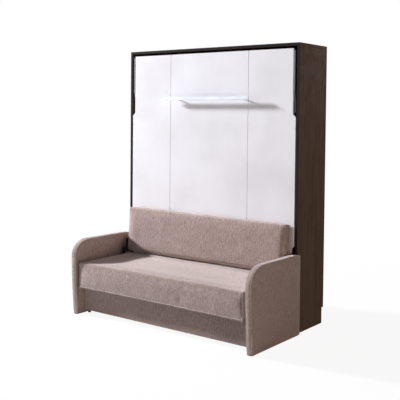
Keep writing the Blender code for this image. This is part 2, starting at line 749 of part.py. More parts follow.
def make_hinge_plates(bed):
    """Makes the steel plates on the bed's side rails: a bore for the pin and a stud for the spring."""
    centre = (FRONT + PIVOT_BACK, PIVOT_HEIGHT)
    stud = (FRONT + STUD_BACK, STUD_HEIGHT)
    plate_y = (FRAME_FRONT, FRAME_FRONT + HINGE_PLATE_DEPTH)
    plate_z = (PIVOT_HEIGHT - HINGE_PLATE_BELOW, PIVOT_HEIGHT + HINGE_PLATE_ABOVE)
    inner = RAIL_OUTER + GAP
    outer = inner + HINGE_PLATE
    stud_end = SPRING_AXIS - EYE_WIDTH / 2 - GAP
    for name, side in SIDES:
        loops = [rounded(plate_y, plate_z, PLATE_CORNER), circle(centre, PIN_RADIUS + PIN_CLEARANCE)]
        plate = new_outline(loops, "X", span(side, inner, outer))
        boss_x = span(side, inner + HINGE_PLATE / 2, stud_end)
        boss = new_cylinder("X", boss_x, stud, STUD_RADIUS, SMALL_SIDES)
        part(f"bed_hinge_plate_{name}", plate, STEEL, bed, joined=[boss])


def bar_outline(path, width, steps=8):
    """Returns the outline of a flat bar along a path, round at its start and square at its end."""
    half = width / 2
    directions = [(Vector(b) - Vector(a)).normalized() for a, b in zip(path, path[1:])]
    left = []
    right = []
    for index, point in enumerate(path[1:], 1):
        before = directions[index - 1]
        after = directions[min(index, len(directions) - 1)]
        normal = Vector((-before.y - after.y, before.x + after.x)).normalized()
        reach = half / normal.dot(Vector((-before.y, before.x)))
        left.append(tuple(Vector(point) + normal * reach))
        right.append(tuple(Vector(point) - normal * reach))
    first = directions[0]
    angle = atan2(first.y, first.x)
    start = arc(path[0], (half, half), angle + pi / 2, angle + 3 * pi / 2, steps)
    return start + right + left[::-1]


def make_legs(bed):
    """Makes the two fold-out legs with their pads, on plates at the bed's head end."""
    y = FRONT + LEG_PIVOT_BACK
    z = LEG_PIVOT_HEIGHT
    end = z + LEG_LENGTH - LEG_PAD
    path = [(y, z), (y, z + LEG_STRAIGHT), (y - LEG_OFFSET, z + LEG_BEND), (y - LEG_OFFSET, end)]
    plate_y = (FRAME_FRONT, FRAME_BACK)
    plate_z = (z - LEG_PLATE_BELOW, z + LEG_PLATE_ABOVE)
    plate_inner = RAIL_OUTER + GAP
    plate_outer = plate_inner + LEG_PLATE
    leg_inner = plate_outer + LEG_PLAY
    leg_outer = leg_inner + LEG_THICKNESS
    inside = plate_outer - LEG_PLATE / 2
    head_outer = leg_outer + GAP + LEG_HEAD
    for name, side in SIDES:
        plate_x = span(side, plate_inner, plate_outer)
        plate = new_outline([rounded(plate_y, plate_z, PLATE_CORNER)], "X", plate_x)
        collar = new_cylinder("X", span(side, inside, leg_inner - GAP), (y, z), LEG_COLLAR_RADIUS)
        pin = new_cylinder("X", span(side, inside, head_outer), (y, z), LEG_PIN_RADIUS)
        head = new_cylinder("X", span(side, leg_outer + GAP, head_outer), (y, z), LEG_HEAD_RADIUS)
        part(f"leg_plate_{name}", plate, STEEL, bed, joined=[collar, pin, head])
        pivot = make_pivot(f"leg_{name}_pivot", (side * leg_inner, y, z), carrier=bed)
        loops = [bar_outline(path, LEG_WIDTH), circle((y, z), LEG_PIN_RADIUS + PIN_CLEARANCE)]
        bar = new_outline(loops, "X", span(side, leg_inner, leg_outer))
        reach = LEG_WIDTH / 2 + LEG_PAD_LIP
        pad_y = (y - LEG_OFFSET - reach, y - LEG_OFFSET + reach)
        pad_x = span(side, leg_inner - LEG_PAD_LIP, leg_outer + LEG_PAD_LIP)
        pad = new_box(pad_x, pad_y, (end - LEG_PAD, end + LEG_PAD))
        part(f"leg_{name}", bar, GREY_STEEL, pivot, joined=[pad])


def make_gas_springs():
    """Makes a gas spring on each side: a barrel hung on the cabinet and a rod that slides in it.

    Each is drawn along its own axis, which starts at the cabinet's pin.
    """
    barrel_end = BARREL_START + BARREL_LENGTH
    bore = ROD_RADIUS + ROD_CLEARANCE
    neck_start = EYE_RADIUS / 2
    profile = [
        (0, BARREL_START + BORE_FLOOR),
        (bore, BARREL_START + BORE_FLOOR),
        (bore, barrel_end),
        (SPRING_RADIUS, barrel_end),
        (SPRING_RADIUS, BARREL_START),
        (BARREL_NECK, BARREL_START - BARREL_SHOULDER),
        (BARREL_NECK, neck_start),
        (0, neck_start),
    ]
    wall_inner = SIDE_INNER - GAP - SPRING_PLATE
    pin_end = SPRING_AXIS - EYE_WIDTH / 2
    eye = (-EYE_WIDTH / 2, EYE_WIDTH / 2)
    centre = (SPRING_FROM.y, SPRING_FROM.z)
    half = SPRING_PLATE_HALF
    plate_y = (centre[0] - half, centre[0] + half)
    plate_z = (centre[1] - half, centre[1] + half)
    for name, side in SIDES:
        plate = new_outline([rounded(plate_y, plate_z, PLATE_CORNER)], "X", span(side, wall_inner, ARM_FACE))
        pin_x = span(side, pin_end, wall_inner + SPRING_PLATE / 2)
        pin = new_cylinder("X", pin_x, centre, EYE_PIN_RADIUS, SMALL_SIDES)
        part(f"spring_plate_{name}", plate, STEEL, joined=[pin])
        place = Vector((side * SPRING_AXIS, SPRING_FROM.y, SPRING_FROM.z))
        frame = Matrix.Translation(place) @ Matrix.Rotation(SPRING_TURN, 4, "X")
        pivot = make_pivot(f"gas_spring_{name}_pivot", place, SPRING_TURN)
        hole_x = (-EYE_WIDTH, EYE_WIDTH)
        hole = new_cylinder("X", hole_x, (0, 0), EYE_PIN_RADIUS + PIN_CLEARANCE, SMALL_SIDES)
        part(
            f"gas_barrel_{name}",
            draw_profile(profile),
            BLACK,
            pivot,
            frame=frame,
            joined=[new_cylinder("X", eye, (0, 0), EYE_RADIUS)],
            removed=[hole],
            turned=SMALL_SIDES,
        )
        rod_start = barrel_end - ROD_GRIP
        rod = new_cylinder("Z", (rod_start, SPRING_LENGTH), (0, 0), ROD_RADIUS, SMALL_SIDES)
        socket = new_cylinder("X", eye, (0, SPRING_LENGTH), EYE_RADIUS)
        part(f"gas_rod_{name}", rod, STEEL, pivot, frame=frame, joined=[socket])


def draw_profile(points):
    """Returns a mesh of the edges along a profile of radius and height."""
    mesh = bmesh.new()
    vertices = [mesh.verts.new((radius, 0, height)) for radius, height in points]
    for start, end in zip(vertices, vertices[1:]):
        mesh.edges.new((start, end))
    return mesh


def arm_outline():
    """Returns an arm's side view: a bulging front, a long curve over the top and a low back."""
    foot = FRONT - ARM_FOOT_REACH
    nose = FRONT - SOFA_REACH
    back = FRONT - GAP
    points = [(back, ARM_LIFT), (foot, ARM_LIFT)]
    steps = 3
    for step in range(1, steps):
        share = step / steps
        height = ARM_LIFT + (ARM_NOSE_HEIGHT - ARM_LIFT) * share
        points.append((foot + (nose - foot) * sin(share * pi / 2), height))
    front_radii = (ARM_NOSE_LENGTH, ARM_HEIGHT - ARM_NOSE_HEIGHT)
    points += arc((nose + ARM_NOSE_LENGTH, ARM_NOSE_HEIGHT), front_radii, pi, pi / 2, 9)
    back_radii = (ARM_BACK_LENGTH, ARM_HEIGHT - ARM_BACK_HEIGHT)
    points += arc((back - ARM_BACK_LENGTH, ARM_BACK_HEIGHT), back_radii, pi / 2, 0, 2)
    return points


def crown_faces(mesh, axis, inset, height):
    """Insets the two large faces across an axis and moves their middles outwards."""
    mesh.normal_update()
    caps = [face for face in mesh.faces if abs(face.normal[axis]) > 1 - SHARE_TOLERANCE]
    for cap in caps:
        bmesh.ops.inset_region(mesh, faces=[cap], thickness=inset, use_even_offset=True)
        outward = 1 if cap.normal[axis] > 0 else -1
        for vertex in cap.verts:
            vertex.co[axis] += outward * height


def make_arms():
    """Makes the two upholstered arms on their glides, and the plates that tie them to the cabinet."""
    middle = SIDE_INNER + ARM_THICKNESS / 2
    for name, side in SIDES:
        faces = (SIDE_INNER + ARM_CROWN, SIDE_INNER + ARM_THICKNESS - ARM_CROWN)
        mesh = new_outline([arm_outline()], "X", span(side, *faces))
        crown_faces(mesh, 0, ARM_CROWN_INSET, ARM_CROWN)
        glides = bmesh.new()
        for reach in GLIDE_PLACES:
            place = (side * middle, FRONT - reach)
            cylinder_into(glides, "Z", (0, ARM_LIFT * 2), place, GLIDE_RADIUS, SMALL_SIDES)
        arm = part(f"arm_{name}", mesh, FABRIC, edge=ARM_ROUND, steps=2)
        add_operand(arm, glides, "UNION", Matrix(), None)
        plate_x = span(side, ARM_FACE - ARM_BRACKET, ARM_FACE)
        plate_y = (FRONT - ARM_BRACKET_FRONT, FRONT + ARM_BRACKET_BACK)
        plate_z = (ARM_BRACKET_HIGH - ARM_BRACKET_HEIGHT, ARM_BRACKET_HIGH)
        plate = new_outline([rounded(plate_y, plate_z, PLATE_CORNER)], "X", plate_x)
        part(f"arm_tie_plate_{name}", plate, STEEL)


def make_base():
    """Makes the sofa's fixed base: apron, rear rail, side rails on feet and four guide rods."""
    apron_back = FRONT - APRON_REACH + APRON_THICKNESS
    apron = new_box((-ARM_FACE, ARM_FACE), (FRONT - APRON_REACH, apron_back), (BASE_LIFT, APRON_TOP))
    part("apron", apron, FABRIC, edge=APRON_ROUND, steps=2)
    rear_front = FRONT - BASE_REAR_REACH
    rail_y = (apron_back + GAP, rear_front + BOARD)
    rail_top = BASE_LIFT + BASE_RAIL_HEIGHT
    rail_inner = ARM_FACE - BASE_RAIL_WIDTH
    for name, side in SIDES:
        feet = bmesh.new()
        foot_x = side * (rail_inner + BASE_RAIL_WIDTH / 2)
        for y in (rail_y[0] + BASE_RAIL_WIDTH, rail_y[1] - BASE_RAIL_WIDTH):
            cylinder_into(feet, "Z", (0, BASE_LIFT * 2), (foot_x, y), FOOT_RADIUS, SMALL_SIDES)
        rail = new_box(span(side, rail_inner, ARM_FACE), rail_y, (BASE_LIFT, rail_top))
        part(f"base_rail_{name}", rail, TIMBER, joined=[feet])
        guide_x = side * (SIDE_INNER - GUIDE_OFFSET)
        for label, reach in zip(("front", "rear"), ROD_PLACES):
            y = FRONT - reach
            rod = new_cylinder("Z", (rail_top + GAP, GUIDE_TOP), (guide_x, y), GUIDE_RADIUS, SMALL_SIDES)
            lug_z = (GUIDE_TOP - LUG_THICKNESS / 2, GUIDE_TOP + LUG_THICKNESS / 2)
            lug_y = (y - LUG_WIDTH / 2, y + LUG_WIDTH / 2)
            lug = new_box(span(side, SIDE_INNER - LUG_INSET, ARM_FACE), lug_y, lug_z)
            part(f"guide_rod_{label}_{name}", rod, STEEL, joined=[lug])
    rear_x = (-rail_inner + GAP, rail_inner - GAP)
    rear_y = (rear_front, rear_front + BOARD)
    block("base_rail_rear", rear_x, rear_y, (BASE_LIFT, BASE_LIFT + BASE_REAR_HEIGHT), TIMBER)


def make_seat(seat):
    """Makes the seat: cushion with a deep front, board, slides on the rods and backrest brackets."""
    front = FRONT - SEAT_REACH
    rear = FRONT - SEAT_REAR_REACH
    edge_top = SEAT_TOP - SEAT_CROWN
    bottom = SEAT_TOP - SEAT_FOAM
    nose_back = front + NOSE_THICKNESS
    x = (-SEAT_HALF, SEAT_HALF)
    mesh = new_box(x, (front, rear), (bottom, edge_top))
    cut_across(mesh, 0, *x, 12)
    cut_across(mesh, 1, front, front + 2 * NOSE_THICKNESS, 2)
    cut_across(mesh, 1, nose_back, rear, 5)
    mesh.normal_update()
    underside = [
        face for face in mesh.faces
        if face.normal.z < -0.5 and face.calc_center_median().y < nose_back
    ]
    lower = bmesh.ops.extrude_face_region(mesh, geom=underside)["geom"]
    bmesh.ops.delete(mesh, geom=underside, context="FACES")
    lowered = [item for item in lower if isinstance(item, bmesh.types.BMVert)]
    bmesh.ops.translate(mesh, verts=lowered, vec=(0, 0, NOSE_LOW - bottom))
    corners = (Vector((x[0], front, bottom)), Vector((x[1], rear, edge_top)))
    swell(mesh, *corners, 2, 1, SEAT_CROWN, SEAT_DRAW)
    mark_outer_edges(mesh)
    part("seat_cushion", mesh, FABRIC, seat, SEAT_ROUND, 3)
    board_half = SEAT_BOARD_HALF
    board_y = (nose_back + GAP, rear)
    block("seat_board", (-board_half, board_half), board_y, (SEAT_BOARD_LOW, SEAT_BOARD_TOP), BIRCH, seat)
    slide_y = (FRONT - ROD_PLACES[0] - SLIDE_END, FRONT - ROD_PLACES[1] + SLIDE_END)
    slide_z = (SLIDE_TOP - SLIDE_HEIGHT, SLIDE_TOP)
    pin = (FRONT - FOLD_REACH, FOLD_HEIGHT)
    steel_inner = SEAT_BOARD_HALF + GAP
    steel_outer = steel_inner + BRACKET_STEEL
    plate_y = (pin[0] - BRACKET_HALF, pin[0] + BRACKET_HALF)
    plate_z = (pin[1] - BRACKET_BELOW, pin[1] + BRACKET_ABOVE)
    for name, side in SIDES:
        guide_x = side * (SIDE_INNER - GUIDE_OFFSET)
        loops = [rounded(span(side, SLIDE_INNER, SLIDE_OUTER), slide_y, EDGE)]
        loops += [circle((guide_x, FRONT - reach), GUIDE_RADIUS + GUIDE_CLEARANCE) for reach in ROD_PLACES]
        part(f"seat_slide_{name}", new_outline(loops, "Z", slide_z), BLACK, seat)
        plate_x = span(side, steel_inner, steel_outer)
        plate = new_outline([rounded(plate_y, plate_z, PLATE_CORNER)], "X", plate_x)
        peg_x = span(side, BACKREST_HALF + GAP * 2, steel_inner + BRACKET_STEEL / 2)
        peg = new_cylinder("X", peg_x, pin, FOLD_PIN_RADIUS)
        part(f"backrest_bracket_{name}", plate, STEEL, seat, joined=[peg])


def make_backrest(pivot):
    """Makes the backrest and the plates in its ends that turn on the brackets' pegs.

    It is drawn upright about its pivot, and the pivot leans it back.
    """
    frame = pivot.matrix_world.copy()
    x = (-BACKREST_HALF, BACKREST_HALF)
    y = (-FOLD_INSET, BACKREST_THICKNESS - FOLD_INSET)
    z = (-FOLD_INSET, BACKREST_HEIGHT - FOLD_INSET)
    mesh = new_box(x, y, z)
    cut_across(mesh, 0, *x, 12)
    cut_across(mesh, 2, *z, 4)
    corners = (Vector((x[0], y[0], z[0])), Vector((x[1], y[1], z[1])))
    swell(mesh, *corners, 1, -1, BACKREST_CROWN, BACKREST_DRAW)
    part("backrest_cushion", mesh, FABRIC, pivot, BACKREST_ROUND, 3, frame)
    inner = BACKREST_HALF + GAP
    plate_y = (y[0] + FOLD_PLATE_INSET, y[0] + FOLD_PLATE_WIDTH)
    plate_z = (z[0] + FOLD_PLATE_INSET, z[0] + FOLD_PLATE_HEIGHT)
    loops = [rounded(plate_y, plate_z, FOLD_PIN_RADIUS), circle((0, 0), FOLD_PIN_RADIUS + PIN_CLEARANCE)]
    for name, side in SIDES:
        plate = new_outline(loops, "X", span(side, inner, inner + FOLD_PLATE))
        part(f"backrest_end_plate_{name}", plate, STEEL, pivot, frame=frame)


def build():
    """Makes every part, and the empties on the axes that the moving ones turn or slide on."""
    make_cabinet()
    make_main_pivots()
    bed = make_pivot("bed_pivot", (0, FRONT + PIVOT_BACK, PIVOT_HEIGHT))
    make_bed_front(bed)
    make_bed_frame(bed)
    make_mattress(bed)
    make_hinge_plates(bed)
    make_legs(bed)
    make_gas_springs()
    make_arms()
    make_base()
    seat = make_pivot("seat_carriage", (0, FRONT - SEAT_REACH / 2, SEAT_TOP))
    make_seat(seat)
    fold = (0, FRONT - FOLD_REACH, FOLD_HEIGHT)
    make_backrest(make_pivot("backrest_pivot", fold, -BACKREST_LEAN, seat))


clear_scene()
PARTS = make_collection("wall bed with sofa")
CUTTERS = make_collection("cutters")
build()
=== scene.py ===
"""Looks of a wall bed with a sofa in front.

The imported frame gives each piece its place. This script dresses the rigid pieces with their
finishes and builds the upholstery, the mattress and the sewn trim in the space of their solids.

Metres, +Z up, +X to the right, -Y towards the room.
"""

import logging
from collections.abc import Callable, Iterator, Sequence
from contextlib import contextmanager
from dataclasses import dataclass, field, replace
from enum import Enum
from functools import lru_cache
from math import cos, pi, radians, sin

import bmesh
import bpy
import numpy as np
from mathutils import Matrix, Vector
from mathutils.bvhtree import BVHTree


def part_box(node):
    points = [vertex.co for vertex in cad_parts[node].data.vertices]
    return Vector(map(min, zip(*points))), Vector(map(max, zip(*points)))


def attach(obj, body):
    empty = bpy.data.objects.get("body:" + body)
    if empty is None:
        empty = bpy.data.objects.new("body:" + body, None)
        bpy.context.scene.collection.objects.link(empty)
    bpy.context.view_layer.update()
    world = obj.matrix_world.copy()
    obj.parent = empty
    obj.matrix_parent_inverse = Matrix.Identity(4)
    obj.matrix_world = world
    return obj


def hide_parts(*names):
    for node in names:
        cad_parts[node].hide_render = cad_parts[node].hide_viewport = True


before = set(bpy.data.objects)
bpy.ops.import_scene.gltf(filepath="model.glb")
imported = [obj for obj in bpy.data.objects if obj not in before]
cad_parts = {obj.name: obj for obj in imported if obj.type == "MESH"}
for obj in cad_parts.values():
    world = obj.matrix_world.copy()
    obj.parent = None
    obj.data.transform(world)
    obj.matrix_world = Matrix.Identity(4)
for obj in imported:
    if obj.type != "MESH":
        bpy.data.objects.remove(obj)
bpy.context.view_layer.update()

log = logging.getLogger("wall_bed_with_sofa")

Colour = tuple[int, int, int]
Point = tuple[float, float, float]
Array = np.ndarray
Inputs = dict[int | str, object]
Move = Callable[[Array, Array, Sequence[float], Sequence[float]], Array]
Mesh = bpy.types.Mesh
Node = bpy.types.Node
Piece = bpy.types.Object
Socket = bpy.types.NodeSocket
Tree = bpy.types.NodeTree

SIDES = (("left", -1), ("right", 1))
WHITE = (1.0, 1.0, 1.0, 1.0)


class Axis(Enum):
    """A direction: of a grain, a brushing, a row of threads or a face."""

    X = 0
    Y = 1
    Z = 2


def linear(colour: Colour) -> tuple[float, ...]:
    """Turns a display colour of 0 to 255 into a linear one, by the display's standard curve.

    Args:
        colour: The three display channels.

    Returns:
        The linear channels and a full alpha.
    """
    shares = [channel / 255 for channel in colour]
    curve = [share / 12.92 if share <= 0.04045 else ((share + 0.055) / 1.055) ** 2.4
             for share in shares]
    return (*curve, 1.0)


class Graph:
    """Adds shader nodes to a tree and joins them. What is fed in is a socket or a plain value."""

    def __init__(self, tree: Tree) -> None:
        """Starts on the node tree of a material, a world or a group."""
        self.tree = tree

    def feed(self, socket: Socket, value: object) -> None:
        """Links a socket to an input, or sets the input's own value.

        Args:
            socket: The input.
            value: A socket to link, or a plain value.
        """
        if isinstance(value, Socket):
            self.tree.links.new(value, socket)
        else:
            socket.default_value = value

    def put(self, kind: str, inputs: Inputs | None = None, **settings: object) -> Node:
        """Adds a node.

        Args:
            kind: The node's type name.
            inputs: What goes into its inputs, by their number or name.
            **settings: Its properties.

        Returns:
            The new node.
        """
        node = self.tree.nodes.new(kind)
        for key, value in settings.items():
            setattr(node, key, value)
        for key, value in (inputs or {}).items():
            self.feed(node.inputs[key], value)
        return node

    def group(self, tree: Tree, **inputs: object) -> Node:
        """Adds a node group, with its inputs by name."""
        return self.put("ShaderNodeGroup", inputs, node_tree=tree)

    def math(self, operation: str, *values: object) -> Socket:
        """Returns what a Math node's operation makes of the values."""
        return self.put("ShaderNodeMath", dict(enumerate(values)), operation=operation).outputs[0]

    def split(self, vector: Socket) -> list[Socket]:
        """Returns a vector's three numbers."""
        return list(self.put("ShaderNodeSeparateXYZ", {0: vector}).outputs)

    def join(self, *values: object) -> Socket:
        """Returns a vector of three numbers."""
        return self.put("ShaderNodeCombineXYZ", dict(enumerate(values))).outputs[0]

    def noise(self, vector: Socket, scale: float, detail: float = 2.0, stir: float = 0.0) -> Socket:
        """Returns a cloudy value from 0 to 1.

        Args:
            vector: Where it is read.
            scale: Clouds per metre.
            detail: How many finer layers it has.
            stir: How far it is distorted.

        Returns:
            The value.
        """
        inputs = {"Vector": vector, "Scale": scale, "Detail": detail, "Distortion": stir}
        return self.put("ShaderNodeTexNoise", inputs).outputs[0]

    def drawn(self, vector: Socket, scales: Point, detail: float, stir: float = 0.0) -> Socket:
        """Returns noise with a scale of its own along each axis, and the rest as for noise."""
        scaled = self.put("ShaderNodeVectorMath", {0: vector, 1: scales}, operation="MULTIPLY")
        return self.noise(scaled.outputs["Vector"], 1.0, detail, stir)

    def band(self, value: Socket, low: float, high: float, start: float = 0.0,
             end: float = 1.0) -> Socket:
        """Turns a range of values smoothly into another.

        Args:
            value: The value to turn.
            low: Where the range starts.
            high: Where it ends.
            start: The result at and before its start.
            end: The result at and after its end.

        Returns:
            The result.
        """
        inputs = dict(enumerate((value, low, high, start, end)))
        return self.put("ShaderNodeMapRange", inputs, interpolation_type="SMOOTHSTEP").outputs[0]

    def tint(self, share: object, first: object, second: object) -> Socket:
        """Mixes two colours, by how much there is of the second."""
        inputs = {0: share, 6: first, 7: second}
        return self.put("ShaderNodeMix", inputs, data_type="RGBA").outputs[2]

    def choose(self, share: object, first: object, second: object) -> Socket:
        """Mixes two numbers, by how much there is of the second."""
        inputs = {0: share, 2: first, 3: second}
        return self.put("ShaderNodeMix", inputs, data_type="FLOAT").outputs[0]

    def bump(self, height: Socket, depth: float, strength: float) -> Socket:
        """Returns a normal tilted by a height, of which 1 stands for a depth in metres."""
        inputs = {"Strength": strength, "Distance": depth, "Height": height}
        return self.put("ShaderNodeBump", inputs).outputs[0]

    def seen(self) -> Socket:
        """Returns 1 where the eye looks, straight or by a mirror or glass, and 0 for soft light."""
        path = self.put("ShaderNodeLightPath").outputs
        straight = self.math("MAXIMUM", path["Is Camera Ray"], path["Is Transmission Ray"])
        return self.math("MAXIMUM", straight, path["Is Glossy Ray"])


def open_group(name: str, **inputs: str) -> tuple[Graph, Node]:
    """Starts a node group.

    Args:
        name: The group's name.
        **inputs: Each input's kind of socket, without the NodeSocket prefix.

    Returns:
        Its graph and its input node.
    """
    tree = bpy.data.node_groups.new(name, "ShaderNodeTree")
    for label, kind in inputs.items():
        tree.interface.new_socket(name=label, in_out="INPUT", socket_type=f"NodeSocket{kind}")
    graph = Graph(tree)
    return graph, graph.put("NodeGroupInput")


def close_group(graph: Graph, **outputs: Socket) -> Tree:
    """Gives a node group its outputs.

    Args:
        graph: The group's graph.
        **outputs: The number that each output gives.

    Returns:
        The finished group.
    """
    for label in outputs:
        graph.tree.interface.new_socket(name=label, in_out="OUTPUT", socket_type="NodeSocketFloat")
    graph.put("NodeGroupOutput", outputs)
    return graph.tree


@lru_cache(maxsize=None)
def thread_group() -> Tree:
    """Builds the woven threads that every cloth shares.

    A face is read in the plane that it looks out of most. The threads are the product of a sine
    across and a sine along, stirred a little, and the slubs are noise drawn out along each of them.

    Returns:
        The node group.
    """
    stir_scale, stir, warp_share = 60.0, 9.0, 0.62
    fleck_scale, cloud_scale = 620.0, 7.0
    streaks = ((230.0, 42.0, 0.0), (105.0, 19.0, 3.0), (50.0, 250.0, 7.0))
    graph, given = open_group("woven threads", Point="Vector", Facing="Vector", Threads="Float")
    point = given.outputs["Point"]
    x, y, z = graph.split(point)
    facing = [graph.math("ABSOLUTE", share) for share in graph.split(given.outputs["Facing"])]
    sideways = graph.math("GREATER_THAN", facing[0], graph.math("MAXIMUM", facing[1], facing[2]))
    upwards = graph.math("GREATER_THAN", facing[2], graph.math("MAXIMUM", facing[0], facing[1]))
    across = graph.choose(sideways, x, y)
    along = graph.choose(upwards, z, y)
    turns = graph.math("MULTIPLY", given.outputs["Threads"], 2 * pi)
    wobble = graph.math("MULTIPLY", graph.noise(point, stir_scale, 1.0), stir)
    waves = [graph.math("SINE", graph.math("ADD", graph.math("MULTIPLY", place, turns), wobble))
             for place in (across, along)]
    slubs = []
    for fine, slow, start in streaks:
        place = (graph.math("MULTIPLY", across, fine), graph.math("MULTIPLY", along, slow), start)
        slubs.append(graph.noise(graph.join(*place), 1.0))
    warp = graph.math("MULTIPLY_ADD", slubs[0], 0.5, graph.math("MULTIPLY", slubs[1], 0.5))
    weft = graph.math("MULTIPLY", slubs[2], 1 - warp_share)
    return close_group(
        graph,
        Weave=graph.math("MULTIPLY_ADD", graph.math("MULTIPLY", *waves), 0.5, 0.5),
        Slub=graph.math("MULTIPLY_ADD", warp, warp_share, weft),
        Fleck=graph.noise(point, fleck_scale),
        Cloud=graph.noise(point, cloud_scale, 3.0),
    )


@dataclass(frozen=True)
class Layer:
    """A layer of noise: its clouds per metre, detail and stir, and the band of it that counts."""

    scales: Point
    detail: float
    stir: float
    low: float
    high: float


def layered_group(name: str, **layers: Layer) -> Tree:
    """Builds a node group that gives layers of noise.

    Args:
        name: The group's name.
        **layers: The layer that each output gives.

    Returns:
        The node group.
    """
    graph, given = open_group(name, Point="Vector")
    outputs = {}
    for label, layer in layers.items():
        cloud = graph.drawn(given.outputs["Point"], layer.scales, layer.detail, layer.stir)
        outputs[label] = graph.band(cloud, layer.low, layer.high)
    return close_group(graph, **outputs)


@lru_cache(maxsize=None)
def grain_group() -> Tree:
    """Builds the bands, lines and pores that every wooden finish shares, drawn out along Z."""
    return layered_group("drawn-out grain",
                         Figure=Layer((26.0, 26.0, 1.3), 3.0, 0.8, 0.34, 0.66),
                         Lines=Layer((190.0, 190.0, 4.5), 3.0, 0.3, 0.36, 0.64),
                         Pores=Layer((900.0, 900.0, 34.0), 1.0, 0.0, 0.58, 0.7))


@lru_cache(maxsize=None)
def handling_group() -> Tree:
    """Builds the marks of use that hard finishes share: soft smears and thin scratches."""
    return layered_group("marks of use",
                         Smears=Layer((5.5, 5.5, 5.5), 4.0, 1.2, 0.42, 0.68),
                         Scratches=Layer((420.0, 460.0, 30.0), 2.0, 1.4, 0.66, 0.74))


@dataclass(frozen=True)
class Surface:
    """What a finish is painted on: a material's graph and shader, the place and where it looks."""

    graph: Graph
    shader: Node
    point: Socket
    facing: Socket

    def feed(self, **inputs: object) -> None:
        """Feeds the shader's inputs, by name with an underscore for a space."""
        for name, value in inputs.items():
            self.graph.feed(self.shader.inputs[name.replace("_", " ")], value)

    def cover(self, share: Socket, colour: Colour) -> None:
        """Lays a share of a colour over what the shader's colour is so far."""
        face = self.shader.inputs["Base Color"].links[0].from_socket
        self.feed(Base_Color=self.graph.tint(share, face, linear(colour)))

    def marks(self) -> dict[str, Socket]:
        """Returns the smears and the scratches of use."""
        return dict(self.graph.group(handling_group(), Point=self.point).outputs.items())

    def smeared(self, smears: Socket, clean: float, more: float) -> Socket:
        """Returns a roughness that is higher by a little where hands smeared the surface."""
        return self.graph.band(smears, 0.0, 1.0, clean, clean + more)


@dataclass(frozen=True)
class Finish:
    """A material: its name, main colour and gloss. Each kind of finish paints its own detail."""

    name: str
    colour: Colour
    roughness: float = 0.5
    metallic: float = 0.0
    specular: float = 0.5

    def build(self) -> bpy.types.Material:
        """Makes the material.

        Returns:
            The new material.
        """
        material = bpy.data.materials.new(self.name)
        material.use_nodes = True
        graph = Graph(material.node_tree)
        place = graph.put("ShaderNodeTexCoord").outputs
        shader = material.node_tree.nodes["Principled BSDF"]
        on = Surface(graph, shader, place["Object"], place["Normal"])
        on.feed(Base_Color=linear(self.colour), Roughness=self.roughness, Metallic=self.metallic,
                Specular_IOR_Level=self.specular)
        self.paint(on)
        return material

    def paint(self, on: Surface) -> None:
        """Adds the finish's own detail to what it is painted on."""


@dataclass(frozen=True, kw_only=True)
class Grained(Finish):
    """Wood, real or printed: bands, fine lines and pores that run along one axis."""

    dark: Colour
    along: Axis = Axis.Z
    depth: float = 0.00012
    line_share: float = 0.5
    line_height: float = 0.4
    pore_shade: float = 0.35
    smear: float = 0.09

    def paint(self, on: Surface) -> None:
        """Mixes the bands and lines into the colour and cuts the pores.

        Args:
            on: What it is painted on.
        """
        graph = on.graph
        shares = graph.split(on.point)
        last = shares.pop(self.along.value)
        grain = graph.group(grain_group(), Point=graph.join(*shares, last)).outputs
        lines = graph.choose(self.line_share, grain["Figure"], grain["Lines"])
        wood = graph.tint(lines, linear(self.colour), linear(self.dark))
        shade = graph.math("MULTIPLY", grain["Pores"], self.pore_shade)
        raised = graph.math("MULTIPLY", lines, self.line_height)
        height = graph.math("SUBTRACT", raised, grain["Pores"])
        on.feed(Base_Color=graph.tint(shade, wood, linear(self.dark)),
                Roughness=on.smeared(on.marks()["Smears"], self.roughness, self.smear),
                Normal=graph.bump(height, self.depth, 0.5))


@dataclass(frozen=True)
class Foiled(Grained):
    """Foil-wrapped board: grained wide faces, and a plain darker band on the edge to the room."""

    banding: Colour = (44, 38, 38)

    def paint(self, on: Surface) -> None:
        """Adds the band where the surface looks to the front.

        Args:
            on: What it is painted on.
        """
        super().paint(on)
        ahead = on.graph.math("MULTIPLY", on.graph.split(on.facing)[Axis.Y.value], -1.0)
        on.cover(on.graph.band(ahead, 0.5, 0.8), self.banding)


@dataclass(frozen=True)
class FootedTimber(Grained):
    """Timber rail on plastic feet: what lies below the feet's top has their colour."""

    foot_colour: Colour = (26, 24, 24)
    foot_top: float = 0.012

    def paint(self, on: Surface) -> None:
        """Adds the feet's colour.

        Args:
            on: What it is painted on.
        """
        super().paint(on)
        height = on.graph.split(on.point)[Axis.Z.value]
        on.cover(on.graph.math("LESS_THAN", height, self.foot_top), self.foot_colour)


@dataclass(frozen=True)
class Plywood(Grained):
    """Birch plywood: a grained face, and dark glue lines between the layers on its edges."""

    through: Axis = Axis.Y
    layers: float = 620.0
    glue_shade: float = 0.6

    def paint(self, on: Surface) -> None:
        """Adds the layers where the surface looks out of the board's edge.

        Args:
            on: What it is painted on.
        """
        super().paint(on)
        graph = on.graph
        depth = graph.split(on.point)[self.through.value]
        square = graph.math("ABSOLUTE", graph.split(on.facing)[self.through.value])
        wave = graph.math("SINE", graph.math("MULTIPLY", depth, self.layers * pi))
        edge = graph.band(square, 0.35, 0.6, 1.0, 0.0)
        glue = graph.math("MULTIPLY", graph.band(wave, 0.2, 0.7), edge)
        on.cover(graph.math("MULTIPLY", glue, self.glue_shade), self.dark)


